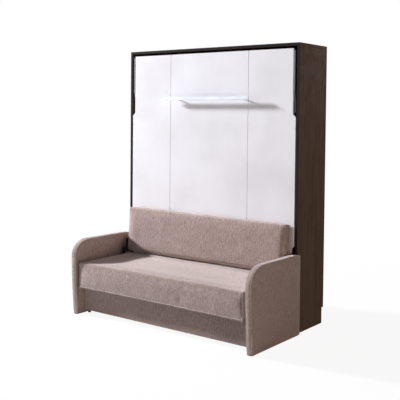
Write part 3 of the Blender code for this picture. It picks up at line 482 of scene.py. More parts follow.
@dataclass(frozen=True)
class Lacquer(Finish):
    """Smooth white board: a faint roll of the lacquer, and smears where hands touch it."""

    shade: Colour = (228, 226, 228)
    shade_share: float = 0.6
    cloud_scale: float = 2.2
    roll_scale: float = 240.0
    scratch_depth: float = 0.4
    depth: float = 0.00003
    smear: float = 0.12

    def paint(self, on: Surface) -> None:
        """Tones the white and rolls its surface.

        Args:
            on: What it is painted on.
        """
        graph, marks = on.graph, on.marks()
        cloud = graph.noise(on.point, self.cloud_scale, 3.0)
        tone = graph.band(cloud, 0.35, 0.7, 0.0, self.shade_share)
        scratches = graph.math("MULTIPLY", marks["Scratches"], -self.scratch_depth)
        roll = graph.math("ADD", graph.noise(on.point, self.roll_scale, 1.0), scratches)
        on.feed(Base_Color=graph.tint(tone, linear(self.colour), linear(self.shade)),
                Roughness=on.smeared(marks["Smears"], self.roughness, self.smear),
                Normal=graph.bump(roll, self.depth, 0.5))


@dataclass(frozen=True, kw_only=True)
class Cloth(Finish):
    """Woven or knitted cloth: threads, slubs, flecks and clouds of tone, with a soft sheen."""

    dark: Colour
    light: Colour
    threads: float = 420.0
    depth: float = 0.0007
    sheen: float = 1.0
    sheen_tint: Colour = (236, 225, 223)
    sheen_roughness: float = 0.4
    heather: float = 1.0
    low_share: float = 0.75
    high_share: float = 0.7
    # How much painted shade darkens the gaps between the threads.
    gap_shade_share: float = 0.3
    cloud_share: float = 0.12

    def paint(self, on: Surface) -> None:
        """Mixes the yarn's tones and raises its threads.

        Args:
            on: What it is painted on.
        """
        graph, dark = on.graph, linear(self.dark)
        on.feed(Sheen_Weight=self.sheen, Sheen_Roughness=self.sheen_roughness,
                Sheen_Tint=linear(self.sheen_tint))
        cloth = graph.group(thread_group(), Point=on.point, Facing=on.facing,
                            Threads=self.threads).outputs
        slub = graph.band(cloth["Slub"], 0.4, 0.6)
        fleck = graph.band(cloth["Fleck"], 0.35, 0.65)
        low = graph.math("SUBTRACT", 1.0, slub)
        low = graph.math("MULTIPLY", low, self.heather * self.low_share)
        yarn = graph.tint(low, linear(self.colour), dark)
        high = graph.math("MULTIPLY", slub, fleck)
        high = graph.math("MULTIPLY", high, self.heather * self.high_share)
        yarn = graph.tint(high, yarn, linear(self.light))
        # Painted shade: where the weave is low, between the threads, the yarn is darkened towards
        # the dark colour.
        yarn = graph.tint(graph.band(cloth["Weave"], 0.0, 0.45, self.gap_shade_share, 0.0), yarn, dark)
        cloud = graph.band(cloth["Cloud"], 0.35, 0.65, self.cloud_share, 0.0)
        raised = graph.math("MULTIPLY_ADD", fleck, 0.25, cloth["Weave"])
        raised = graph.math("MULTIPLY_ADD", slub, 0.5, raised)
        on.feed(Base_Color=graph.tint(cloud, yarn, dark),
                Normal=graph.bump(raised, self.depth, 0.8))


@dataclass(frozen=True, kw_only=True)
class Metal(Finish):
    """Bare metal: brushed along an axis, or mottled as plating is."""

    dark: Colour
    along: Axis = Axis.X
    brushed: bool = True
    fine: float = 700.0
    slow: float = 9.0
    spangle: float = 85.0
    dark_share: float = 0.55
    depth: float = 0.00003

    def paint(self, on: Surface) -> None:
        """Draws the brushing or the plating's spangle.

        Args:
            on: What it is painted on.
        """
        graph = on.graph
        scales = [self.fine if self.brushed else self.spangle] * 3
        if self.brushed:
            scales[self.along.value] = self.slow
        texture = graph.drawn(on.point, tuple(scales), 2.0)
        tone = graph.band(texture, 0.38, 0.64, 0.0, self.dark_share)
        use = graph.math("MULTIPLY", texture, 0.1)
        use = graph.math("MULTIPLY_ADD", on.marks()["Smears"], 0.12, use)
        on.feed(Base_Color=graph.tint(tone, linear(self.colour), linear(self.dark)),
                Roughness=graph.math("ADD", use, self.roughness),
                Normal=graph.bump(texture, self.depth, 0.4))


@dataclass(frozen=True)
class Coated(Finish):
    """Powder coat or moulded plastic: a fine pebbled skin, with a tip of another colour if any."""

    grain: float = 1400.0
    depth: float = 0.00006
    tip_colour: Colour = (22, 22, 23)
    tip_height: float = 100.0
    worn_lighter: int = 26
    worn_share: float = 0.5
    smear: float = 0.1

    def paint(self, on: Surface) -> None:
        """Pebbles the skin and colours what lies above the tip's height.

        Args:
            on: What it is painted on.
        """
        graph, marks = on.graph, on.marks()
        worn = tuple(min(255, channel + self.worn_lighter) for channel in self.colour)
        share = graph.math("MULTIPLY", marks["Scratches"], self.worn_share)
        high = graph.math("GREATER_THAN", graph.split(on.point)[Axis.Z.value], self.tip_height)
        on.feed(Base_Color=graph.tint(share, linear(self.colour), linear(worn)),
                Roughness=on.smeared(marks["Smears"], self.roughness, self.smear),
                Normal=graph.bump(graph.noise(on.point, self.grain), self.depth, 0.7))
        on.cover(high, self.tip_colour)


WALNUT = Foiled("walnut foil upright", (94, 71, 56), 0.5, specular=0.03, dark=(70, 51, 39))
WALNUT_ACROSS = replace(WALNUT, name="walnut foil lying", along=Axis.X)
WHITE_BOARD = Lacquer("white lacquered board", (244, 242, 247), 0.34, specular=0.4)
HARDBOARD = Grained("brown hardboard", (112, 86, 62), 0.75, dark=(88, 66, 46), along=Axis.X,
                    line_share=0.8)
STAINED = Grained("stained timber upright", (58, 44, 36), 0.5, specular=0.25, dark=(40, 30, 25))
STAINED_ACROSS = replace(STAINED, name="stained timber lying", along=Axis.X)
PINE_ACROSS = FootedTimber("pine lying", (214, 182, 136), 0.58, dark=(178, 138, 92), along=Axis.X)
PINE_DEEP = replace(PINE_ACROSS, name="pine front to back", along=Axis.Y)
SLAT_PLY = Plywood("birch ply slats", (222, 194, 150), 0.5, dark=(166, 128, 86), along=Axis.X)
SEAT_PLY = Plywood("birch ply board", (218, 190, 148), 0.55, dark=(166, 128, 86), along=Axis.X,
                   through=Axis.Z)
UPHOLSTERY = Cloth("taupe chenille", (180, 158, 151), 0.95, specular=0.15, dark=(136, 116, 109),
                   light=(206, 189, 184))
TICKING = Cloth("white knitted ticking", (232, 230, 226), 0.9, specular=0.2, dark=(206, 203, 198),
                light=(244, 243, 240), threads=900.0, depth=0.0003, sheen=0.25, heather=0.5)
# The welt is lighter than the cover: partly its own colour, partly painted highlight for the light
# lines along the arms' edges.
WELT = Cloth("taupe sewn welt", (208, 189, 182), 0.95, specular=0.15, dark=(172, 153, 146),
             light=(226, 211, 206), threads=700.0, depth=0.0004)
TAPE = Cloth("grey mattress tape", (168, 166, 164), 0.9, specular=0.2, dark=(132, 130, 128),
             light=(190, 188, 186), threads=800.0, depth=0.0003, sheen=0.2)
WEBBING = Cloth("grey webbing", (96, 96, 98), 0.85, specular=0.25, dark=(60, 60, 62),
                light=(128, 128, 130), threads=520.0, depth=0.0006, sheen=0.15)
THREAD = Cloth("taupe sewing thread", (140, 120, 112), 0.8, dark=(120, 102, 94),
               light=(156, 138, 130), threads=2400.0, depth=0.0001, sheen=0.2)
ALUMINIUM = Metal("brushed aluminium", (208, 212, 219), 0.32, 0.85, dark=(174, 178, 186))
ZINC = Metal("zinc plated steel", (176, 180, 184), 0.34, 1.0, dark=(138, 142, 148), brushed=False)
ROD_STEEL = Metal("polished steel rod", (196, 198, 202), 0.18, 1.0, dark=(160, 162, 168),
                  along=Axis.Z)
LEG_COAT = Coated("grey powder coat", (104, 105, 108), 0.42, 0.25)
BLACK_PLASTIC = Coated("black moulded plastic", (24, 24, 26), 0.48, depth=0.00004)
BLACK_STEEL = Coated("black painted tube", (22, 22, 24), 0.36, grain=2200.0, depth=0.00003)


@lru_cache(maxsize=None)
def material_of(finish: Finish) -> bpy.types.Material:
    """Returns a finish's material, built once."""
    return finish.build()


def dress(piece: Piece, finish: Finish) -> None:
    """Gives a new piece or a CAD node one finish all over."""
    piece.data.materials.clear()
    piece.data.materials.append(material_of(finish))


def dress_nodes(finish: Finish, *names: str) -> None:
    """Gives CAD nodes one finish."""
    for name in names:
        dress(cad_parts[name], finish)


def settle(piece: Piece, body: str, slot: str, *nodes: str) -> None:
    """Rides a piece on its body and hides the solids that it stands for, if any.

    Args:
        piece: The piece, in place.
        body: The CAD body that carries it.
        slot: A material slot's name. It is not used.
        *nodes: The CAD nodes that it replaces, if any.
    """
    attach(piece, body)
    if nodes:
        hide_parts(*nodes)
    points = read_points(piece.data)
    low, high = (points.min(0) * 1000).round(), (points.max(0) * 1000).round()
    log.info("%s rides on %s, from %s to %s mm", piece.name, body, low.tolist(), high.tolist())


def put_mesh(name: str, points: Array, faces: Array, finish: Finish) -> Piece:
    """Makes an object from arrays.

    Args:
        name: The piece's name.
        points: Its vertices, one row each.
        faces: Its faces, one row each, all with as many corners.
        finish: What it is finished with.

    Returns:
        The new object, at the world's origin.
    """
    mesh = bpy.data.meshes.new(name)
    mesh.vertices.add(len(points))
    mesh.vertices.foreach_set("co", np.ascontiguousarray(points, np.float32).ravel())
    mesh.loops.add(faces.size)
    mesh.loops.foreach_set("vertex_index", np.ascontiguousarray(faces, np.int32).ravel())
    mesh.polygons.add(len(faces))
    starts = np.arange(0, faces.size, faces.shape[1], dtype=np.int32)
    mesh.polygons.foreach_set("loop_start", starts)
    mesh.update(calc_edges=True)
    mesh.validate()
    mesh.shade_smooth()
    piece = bpy.data.objects.new(name, mesh)
    bpy.context.scene.collection.objects.link(piece)
    dress(piece, finish)
    return piece


@contextmanager
def edited(piece: Piece) -> Iterator[bmesh.types.BMesh]:
    """Opens a piece's mesh for editing and writes it back.

    Args:
        piece: The object whose mesh is edited.

    Yields:
        The editable mesh.
    """
    work = bmesh.new()
    work.from_mesh(piece.data)
    yield work
    work.to_mesh(piece.data)
    work.free()


def close_mesh(piece: Piece, distance: float = 0.00002) -> None:
    """Merges a mesh's doubled points and turns its faces outwards.

    Args:
        piece: The object whose mesh is closed.
        distance: How near two points are to be one.
    """
    with edited(piece) as work:
        bmesh.ops.remove_doubles(work, verts=work.verts, dist=distance)
        bmesh.ops.recalc_face_normals(work, faces=work.faces)
    piece.data.shade_smooth()


def read_rows(mesh: Mesh, name: str) -> Array:
    """Returns what a mesh's vertices have under a name, such as co or normal, one row each."""
    rows = np.empty(len(mesh.vertices) * 3, np.float32)
    mesh.vertices.foreach_get(name, rows)
    return rows.reshape(-1, 3).astype(float)


def read_points(mesh: Mesh) -> Array:
    """Returns a mesh's vertices, one row each."""
    return read_rows(mesh, "co")


def write_points(mesh: Mesh, points: Array) -> None:
    """Moves a mesh's vertices to new places, one row each."""
    mesh.vertices.foreach_set("co", np.ascontiguousarray(points, np.float32).ravel())
    mesh.update()


def reshape(piece: Piece, low: Sequence[float], high: Sequence[float], *moves: Move) -> None:
    """Moves a mesh's points by one formula after another.

    Args:
        piece: The piece.
        low: Its box's lowest corner.
        high: Its box's highest corner.
        *moves: Each gives the new points from the points, their normals and the two corners.
    """
    for move in moves:
        points, normals = read_points(piece.data), read_rows(piece.data, "normal")
        write_points(piece.data, move(points, normals, low, high))


def looking(normals: Array, axis: Axis, sign: int, power: int) -> Array:
    """Returns how squarely each point looks along an axis, from 0 to 1, raised to a power."""
    return np.clip(normals[:, axis.value] * sign, 0.0, 1.0) ** power


def eased(share: Array) -> Array:
    """Returns the smooth step of shares, which are kept from 0 to 1."""
    kept = np.clip(share, 0.0, 1.0)
    return kept * kept * (3 - 2 * kept)


@dataclass(frozen=True)
class Ripple:
    """Waves of slack cloth: their depth, and each one's share, its two paces and its phase."""

    depth: float
    waves: tuple[tuple[float, float, float, float], ...]

    def over(self, first: Array, second: Array) -> Array:
        """Returns the sum of the sines over two coordinates."""
        return self.depth * sum(share * np.sin(first * pace + second * drift + phase)
                                for share, pace, drift, phase in self.waves)


def grid_faces(rows: int, columns: int, wrap_columns: bool = True,
               wrap_rows: bool = False) -> Array:
    """Joins a grid of points with four-sided faces.

    Args:
        rows: How many rows of points there are.
        columns: How many points a row has.
        wrap_columns: Whether each row's last point joins its first.
        wrap_rows: Whether the last row joins the first.

    Returns:
        The faces, one row of four point numbers each.
    """
    row = np.arange(rows if wrap_rows else rows - 1)
    column = np.arange(columns if wrap_columns else columns - 1)
    i, j = np.meshgrid(row, column, indexing="ij")
    below = (i + 1) % rows
    beside = (j + 1) % columns
    corners = (i * columns + j, i * columns + beside, below * columns + beside, below * columns + j)
    return np.stack([corner.ravel() for corner in corners], axis=1)


def stations(half: float, radius: float, spacing: float, steps: int = 5) -> Array:
    """Returns places across a rounded block: even ones between the corners, closer ones round them.

    Args:
        half: Half the block's size.
        radius: Its corner's radius.
        spacing: The step between the corners.
        steps: How many steps each half of a corner has.

    Returns:
        The places, from the low side to the high one. Those in a corner go by the tangent of
        even steps of 0 to 45 degrees.
    """
    inner = half - radius
    middle = np.linspace(-inner, inner, max(2, int(round(2 * inner / spacing)) + 1))
    corner = radius * np.tan(np.linspace(0, pi / 4, steps + 1)[1:])
    return np.concatenate([-(inner + corner)[::-1], middle, inner + corner])


def rounded_block(name: str, low: Sequence[float], high: Sequence[float], radius: float,
                  spacing: float, finish: Finish) -> Piece:
    """Makes a closed block with round edges from six grids.

    Each point of a grid on the block's box is pulled to the inner box, which is smaller by the
    radius, and pushed out again by the radius along the way it came.

    Args:
        name: The piece's name.
        low: The lowest corner.
        high: The highest corner.
        radius: The radius of the edges.
        spacing: The grids' step.
        finish: What it is finished with.

    Returns:
        The new object.
    """
    centre = (np.array(low) + np.array(high)) / 2
    half = (np.array(high) - np.array(low)) / 2
    places = [stations(size, radius, spacing) for size in half]
    grids, faces, start = [], [], 0
    for axis in range(3):
        first, second = [other for other in range(3) if other != axis]
        a, b = np.meshgrid(places[first], places[second], indexing="ij")
        for side in (-1, 1):
            grid = np.zeros((a.size, 3))
            grid[:, first] = a.ravel()
            grid[:, second] = b.ravel()
            grid[:, axis] = side * half[axis]
            grids.append(grid)
            faces.append(grid_faces(*a.shape, wrap_columns=False) + start)
            start += len(grid)
    points = np.concatenate(grids)
    inner = np.clip(points, radius - half, half - radius)
    outward = points - inner
    outward /= np.linalg.norm(outward, axis=1, keepdims=True)
    piece = put_mesh(name, centre + inner + radius * outward, np.concatenate(faces), finish)
    close_mesh(piece)
    return piece


def directions(path: Array, closed: bool, across: Point) -> tuple[Array, Array]:
    """Returns the two directions square to a path at each of its points.

    Args:
        path: Its points, one row each.
        closed: Whether its end joins its start.
        across: A direction that the path never runs along.

    Returns:
        The directions nearest to across and square to it.
    """
    if closed:
        tangent = np.roll(path, -1, axis=0) - np.roll(path, 1, axis=0)
    else:
        tangent = np.gradient(path, axis=0)
    tangent /= np.linalg.norm(tangent, axis=1, keepdims=True)
    aside = np.cross(tangent, np.broadcast_to(np.array(across, float), path.shape))
    aside /= np.linalg.norm(aside, axis=1, keepdims=True)
    return np.cross(aside, tangent), aside


def spokes(first: Array, second: Array, radii: tuple[float, float], sides: int) -> Array:
    """Returns a row of points for each place of a path: an ellipse with radii in two directions."""
    angle = np.arange(sides) * 2 * pi / sides
    return (first[:, None] * (radii[0] * np.cos(angle))[None, :, None]
            + second[:, None] * (radii[1] * np.sin(angle))[None, :, None])


def sweep(name: str, path: Array, radii: tuple[float, float], across: Point, finish: Finish,
          closed: bool = False) -> Piece:
    """Carries an eight-sided ellipse along a path.

    Args:
        name: The piece's name.
        path: The path's points, one row each.
        radii: The ellipse's radius towards across, and square to it.
        across: A direction that the path never runs along.
        finish: What it is finished with.
        closed: Whether the path's end joins its start. An open one shrinks to a point at both ends.

    Returns:
        The new object.
    """
    sides, tip_share, merge_share = 8, 0.02, 0.05
    ring = spokes(*directions(path, closed, across), radii, sides)
    size = np.ones(len(path))
    if not closed:
        size[[0, -1]] = tip_share
    points = path[:, None] + ring * size[:, None, None]
    faces = grid_faces(len(path), sides, wrap_rows=closed)
    piece = put_mesh(name, points.reshape(-1, 3), faces, finish)
    close_mesh(piece, radii[1] * merge_share)
    return piece


def resample(path: Array, spacing: float, closed: bool = False) -> Array:
    """Returns points at even steps along a path.

    Args:
        path: The path's points, one row each.
        spacing: About how long a step is.
        closed: Whether its end joins its start.

    Returns:
        The new points. A closed path doesn't repeat its first.
    """
    line = np.concatenate([path, path[:1]]) if closed else path
    run = np.concatenate([[0.0], np.cumsum(np.linalg.norm(np.diff(line, axis=0), axis=1))])
    places = np.linspace(0.0, run[-1], max(3, int(round(run[-1] / spacing)) + 1))
    if closed:
        places = places[:-1]
    return np.stack([np.interp(places, run, line[:, axis]) for axis in range(3)], axis=1)


def laid_on(piece: Piece, path: Array, lift: float = 0.0) -> Array:
    """Moves a path onto a piece's surface.

    Args:
        piece: The piece, with its final mesh.
        path: The path's points near it, one row each.
        lift: How far out of the surface the path ends up.

    Returns:
        The moved points.
    """
    mesh = piece.data
    tree = BVHTree.FromPolygons([v.co for v in mesh.vertices], [p.vertices for p in mesh.polygons])
    found = [tree.find_nearest(Vector(point)) for point in path]
    return np.array([place + normal * lift for place, normal, _, _ in found])


@dataclass(frozen=True)
class Stitching:
    """A row of stitches, each a short six-sided spindle: their length, gap and thickest radius."""

    length: float = 0.0042
    gap: float = 0.0018
    radius: float = 0.0004
    sides: int = 6
    shares: tuple[float, ...] = (-0.5, -0.3, 0.3, 0.5)
    swell: tuple[float, ...] = (0.15, 1.0, 1.0, 0.15)

    def along(self, name: str, path: Array, across: Point) -> Piece:
        """Lays the row along a seam.

        Args:
            name: The piece's name.
            path: The seam's points, one row each.
            across: A direction that the seam never runs along.

        Returns:
            One object that holds them all.
        """
        middles = resample(path, self.length + self.gap)
        up, aside = directions(middles, False, across)
        ring = spokes(up, aside, (self.radius, self.radius), self.sides)
        reach = (np.array(self.shares) * self.length)[:, None, None]
        points = (middles[:, None, None] + np.cross(up, aside)[:, None, None] * reach
                  + ring[:, None] * np.array(self.swell)[:, None, None])
        one = grid_faces(len(self.shares), self.sides)
        offset = np.arange(len(middles)) * len(self.shares) * self.sides
        faces = (one[None] + offset[:, None, None]).reshape(-1, 4)
        piece = put_mesh(name, points.reshape(-1, 3), faces, THREAD)
        with edited(piece) as work:
            bmesh.ops.holes_fill(work, edges=work.edges, sides=self.sides)
            bmesh.ops.recalc_face_normals(work, faces=work.faces)
        return piece


def bake(piece: Piece) -> None:
    """Applies a piece's modifiers to its mesh.

    Args:
        piece: The piece.
    """
    bpy.context.view_layer.update()
    shaped = piece.evaluated_get(bpy.context.evaluated_depsgraph_get())
    mesh = bpy.data.meshes.new_from_object(shaped)
    piece.modifiers.clear()
    piece.data = mesh


@dataclass
class Foam:
    """How a cushion is blown up: its grid, the push inside it and what its foam holds back."""

    voxel: float = 0.010
    shrink: float = 0.005
    pressure: float = 4.0
    hold: float = 0.2
    firm_hold: float = 0.5
    stiffness: float = 0.2
    cap: float = 0.010
    frames: int = 20
    firm_side: Point = (0.0, 0.0, -1.0)

    def cushion(self, node: str, name: str, turn: Matrix) -> tuple[Piece, Array, Array]:
        """Makes a cushion from its solid: an even grid, one round of smoothing, the cloth, and
        one round of subdivision.

        Args:
            node: The CAD node.
            name: The new piece's name.
            turn: Turns the solid square to the grid.

        Returns:
            The new object, still turned, and the solid's lowest and highest corner, turned too.
        """
        piece, low, high = self.remeshed(node, name, turn)
        with edited(piece) as work:
            bmesh.ops.smooth_vert(work, verts=work.verts, factor=0.5, use_axis_x=True,
                                  use_axis_y=True, use_axis_z=True)
        piece.data.update()
        self.blow(piece)
        finer = piece.modifiers.new("Finer", "SUBSURF")
        finer.levels = 1
        finer.render_levels = 1
        bake(piece)
        piece.data.shade_smooth()
        return piece, low, high

    def remeshed(self, node: str, name: str, turn: Matrix) -> tuple[Piece, Array, Array]:
        """Copies a solid, shrinks it and gives it an even grid. See cushion for the rest."""
        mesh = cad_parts[node].data.copy()
        mesh.name = name
        piece = bpy.data.objects.new(name, mesh)
        bpy.context.scene.collection.objects.link(piece)
        close_mesh(piece, 0.0001)
        mesh.transform(turn)
        points = read_points(mesh)
        write_points(mesh, points - read_rows(mesh, "normal") * self.shrink)
        remesh = piece.modifiers.new("Even grid", "REMESH")
        remesh.mode = "VOXEL"
        remesh.voxel_size = self.voxel
        remesh.use_smooth_shade = True
        bake(piece)
        dress(piece, UPHOLSTERY)
        return piece, points.min(0), points.max(0)

    def blow(self, piece: Piece) -> None:
        """Lets the cover swell under pressure while the foam holds it, each point within the cap.

        Args:
            piece: The remeshed piece.
        """
        start = read_points(piece.data)
        firm = read_rows(piece.data, "normal") @ np.array(self.firm_side) > 0.5
        group = piece.vertex_groups.new(name="held")
        for weight, chosen in ((self.hold, ~firm), (self.firm_hold, firm)):
            group.add(np.flatnonzero(chosen).tolist(), weight, "REPLACE")
        cloth = piece.modifiers.new("Cloth", "CLOTH")
        settings = cloth.settings
        settings.vertex_group_mass = "held"
        settings.pin_stiffness = self.stiffness
        settings.use_pressure = True
        settings.uniform_pressure_force = self.pressure
        settings.effector_weights.gravity = 0.0
        settings.quality = 5
        cloth.point_cache.frame_start = 1
        cloth.point_cache.frame_end = self.frames
        scene = bpy.context.scene
        for step in range(1, self.frames + 1):
            scene.frame_set(step)
        moved = read_points(piece.evaluated_get(bpy.context.evaluated_depsgraph_get()).data)
        piece.modifiers.remove(cloth)
        piece.vertex_groups.clear()
        scene.frame_set(1)
        shift = moved - start
        reach = np.linalg.norm(shift, axis=1, keepdims=True)
        log.info("%s swelled by up to %.1f mm, and by %.1f mm at most of its points", piece.name,
                 reach.max() * 1000, np.median(reach) * 1000)
        share = np.minimum(1.0, self.cap / np.maximum(reach, 1e-9))
        write_points(piece.data, start + shift * share)


def fitted(piece: Piece, low: Array, high: Array) -> None:
    """Stretches a mesh a little so that it fills a box.

    Args:
        piece: The piece.
        low: The box's lowest corner.
        high: Its highest corner.
    """
    points = read_points(piece.data)
    least, most = points.min(0), points.max(0)
    write_points(piece.data, low + (points - least) * (high - low) / (most - least))


@dataclass(frozen=True)
class Corner:
    """A sewn edge between two faces of a cushion: their axes and signs, and how soft it is."""

    first: Axis
    first_sign: int
    second: Axis
    second_sign: int
    reach: float = 0.03
    sharpness: float = 0.8
    onset: float = 0.5

    def depth(self, points: Array, axis: Axis, sign: int, low: Array, high: Array) -> Array:
        """Returns how near each point is to a face, from 0 at the reach to 1 on it."""
        face = high[axis.value] if sign > 0 else low[axis.value]
        return np.clip(1.0 - (face - points[:, axis.value]) * sign / self.reach, 0.0, 1.0)

    def sharpen(self, points: Array, low: Array, high: Array) -> None:
        """Pushes a round edge out towards the corner of its two faces.

        Near the edge a point lies at (u, v) on a quarter circle, each from 0 to 1. Both are divided
        by the larger one raised to the sharpness, which turns the circle towards a square. The push
        sets in smoothly, as a smooth step of the smaller one.

        Args:
            points: The cushion's points, which are moved.
            low: The cushion's lowest corner.
            high: Its highest corner.
        """
        u = self.depth(points, self.first, self.first_sign, low, high)
        v = self.depth(points, self.second, self.second_sign, low, high)
        larger = np.maximum(np.maximum(u, v), 1e-6)
        round_share = np.clip(np.hypot(u, v), 0.0, 1.0) ** 4
        gain = (larger ** -self.sharpness - 1.0) * round_share
        gain *= eased(np.minimum(u, v) / self.onset)
        points[:, self.first.value] += gain * u * self.reach * self.first_sign
        points[:, self.second.value] += gain * v * self.reach * self.second_sign


@dataclass
class Cabinet:
    """The walnut carcass with its back, rails and plinths."""

    upright: tuple[str, ...] = ("side_panel_left", "side_panel_right")
    lying: tuple[str, ...] = ("top_panel", "bottom_panel", "wall_fixing_rail", "lower_rear_rail",
                              "plinth_front", "plinth_rear")

    def build(self) -> None:
        """Dresses the boards with their grain along their length.

        The back panel is hardboard, without the foil.
        """
        dress_nodes(WALNUT, *self.upright)
        dress_nodes(WALNUT_ACROSS, *self.lying)
        dress_nodes(HARDBOARD, "back_panel")


@dataclass
class BedFront:
    """The three white boards and the long handle."""

    boards: tuple[str, ...] = ("bed_board_left", "bed_board_middle", "bed_board_right")
    handle: tuple[str, ...] = ("handle_bar", "handle_post_left", "handle_post_right")

    def build(self) -> None:
        """Dresses the boards and the handle."""
        dress_nodes(WHITE_BOARD, *self.boards)
        dress_nodes(ALUMINIUM, *self.handle)


@dataclass
class BedFrame:
    """The timber frame with its slats, hinge plates and legs."""

    foot_share: float = 0.985

    def build(self) -> None:
        """Dresses the timber, the steel and the legs.

        A leg hangs with its foot up while the bed is closed, so its tip is at the top.
        """
        dress_nodes(STAINED, "side_rail_left", "side_rail_right")
        dress_nodes(STAINED_ACROSS, "foot_rail", "head_rail", "mattress_ledge_foot",
                    "mattress_ledge_head")
        dress_nodes(SLAT_PLY, "slat_base")
        for name, _ in SIDES:
            dress_nodes(ZINC, f"bed_hinge_plate_{name}", f"leg_plate_{name}", f"pivot_plate_{name}")
            low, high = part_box(f"leg_{name}")
            tip = low.z + (high.z - low.z) * self.foot_share
            coat = replace(LEG_COAT, name=f"{LEG_COAT.name} {name}", tip_height=tip)
            dress_nodes(coat, f"leg_{name}")


@dataclass
class Mattress:
    """The quilted mattress with its taped edges, and the strap round its middle."""

    radius: float = 0.024
    spacing: float = 0.0125
    inset: float = 0.003
    quilt: float = 0.155
    quilt_depth: float = 0.007
    quilt_power: float = 0.3
    quilt_sink: float = 0.3
    border: float = 0.035
    bulge: float = 0.002
    tape: tuple[float, float] = (0.006, 0.0035)
    tape_spacing: float = 0.02
    turn_points: int = 7

    def build(self) -> None:
        """Makes the mattress and its tapes, and dresses its strap."""
        low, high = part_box("mattress")
        inset = Vector((self.inset,) * 3)
        low, high = low + inset, high - inset
        high.y -= self.quilt_depth / 2
        piece = rounded_block("mattress_body", low, high, self.radius, self.spacing, TICKING)
        reshape(piece, low, high, self.quilted)
        settle(piece, "bed", "mattress_ticking", "mattress")
        for name, y in (("front", low.y + self.radius), ("rear", high.y - self.radius)):
            self.taped(name, y, low, high)
        dress_nodes(WEBBING, "mattress_strap")

    def quilted(self, points: Array, normals: Array, low: Vector, high: Vector) -> Array:
        """Sinks diamond rows of quilting into the face that is slept on, and bulges the sides.

        The depth is a root of the product of two crossed sines, so that it has soft pillows
        between thin sewn lines, and it fades to nothing at the border.

        Args:
            points: The mattress's points.
            normals: Their normals.
            low: Its lowest corner.
            high: Its highest corner.

        Returns:
            The moved points.
        """
        x, z = points[:, 0], points[:, 2] - (low.z + high.z) / 2
        rows = np.abs(np.sin((x + z) * pi / self.quilt) * np.sin((x - z) * pi / self.quilt))
        edges = (x - low.x, high.x - x, points[:, 2] - low.z, high.z - points[:, 2])
        fade = np.clip((np.minimum.reduce(edges) - self.border) / self.border, 0.0, 1.0)
        lift = self.quilt_depth * (np.power(rows, self.quilt_power) * fade - self.quilt_sink)
        points[:, 1] += lift * looking(normals, Axis.Y, 1, 4)
        depth = np.clip((points[:, 1] - low.y) / (high.y - low.y), 0.0, 1.0)
        side = np.clip(1.0 - np.abs(normals[:, 1]) * 2, 0.0, 1.0)
        return points + normals * (np.sin(depth * pi) * self.bulge * side)[:, None]

    def taped(self, name: str, y: float, low: Vector, high: Vector) -> None:
        """Makes one tape edge round the mattress.

        Args:
            name: Which edge it is.
            y: Its place through the mattress.
            low: The mattress's lowest corner.
            high: Its highest corner.
        """
        corners = ((high.x, high.z, 1, 1), (low.x, high.z, -1, 1), (low.x, low.z, -1, -1),
                   (high.x, low.z, 1, -1))
        arcs = []
        for turn, (x, z, right, up) in enumerate(corners):
            angle = np.linspace(0, pi / 2, self.turn_points) + turn * pi / 2
            arcs.append(np.stack([x - self.radius * right + self.radius * np.cos(angle),
                                  np.full(self.turn_points, y),
                                  z - self.radius * up + self.radius * np.sin(angle)], axis=1))
        path = resample(np.concatenate(arcs), self.tape_spacing, closed=True)
        piece = sweep(f"mattress_tape_{name}", path, self.tape, (0, 1, 0), TAPE, closed=True)
        settle(piece, "bed", "mattress_ticking")


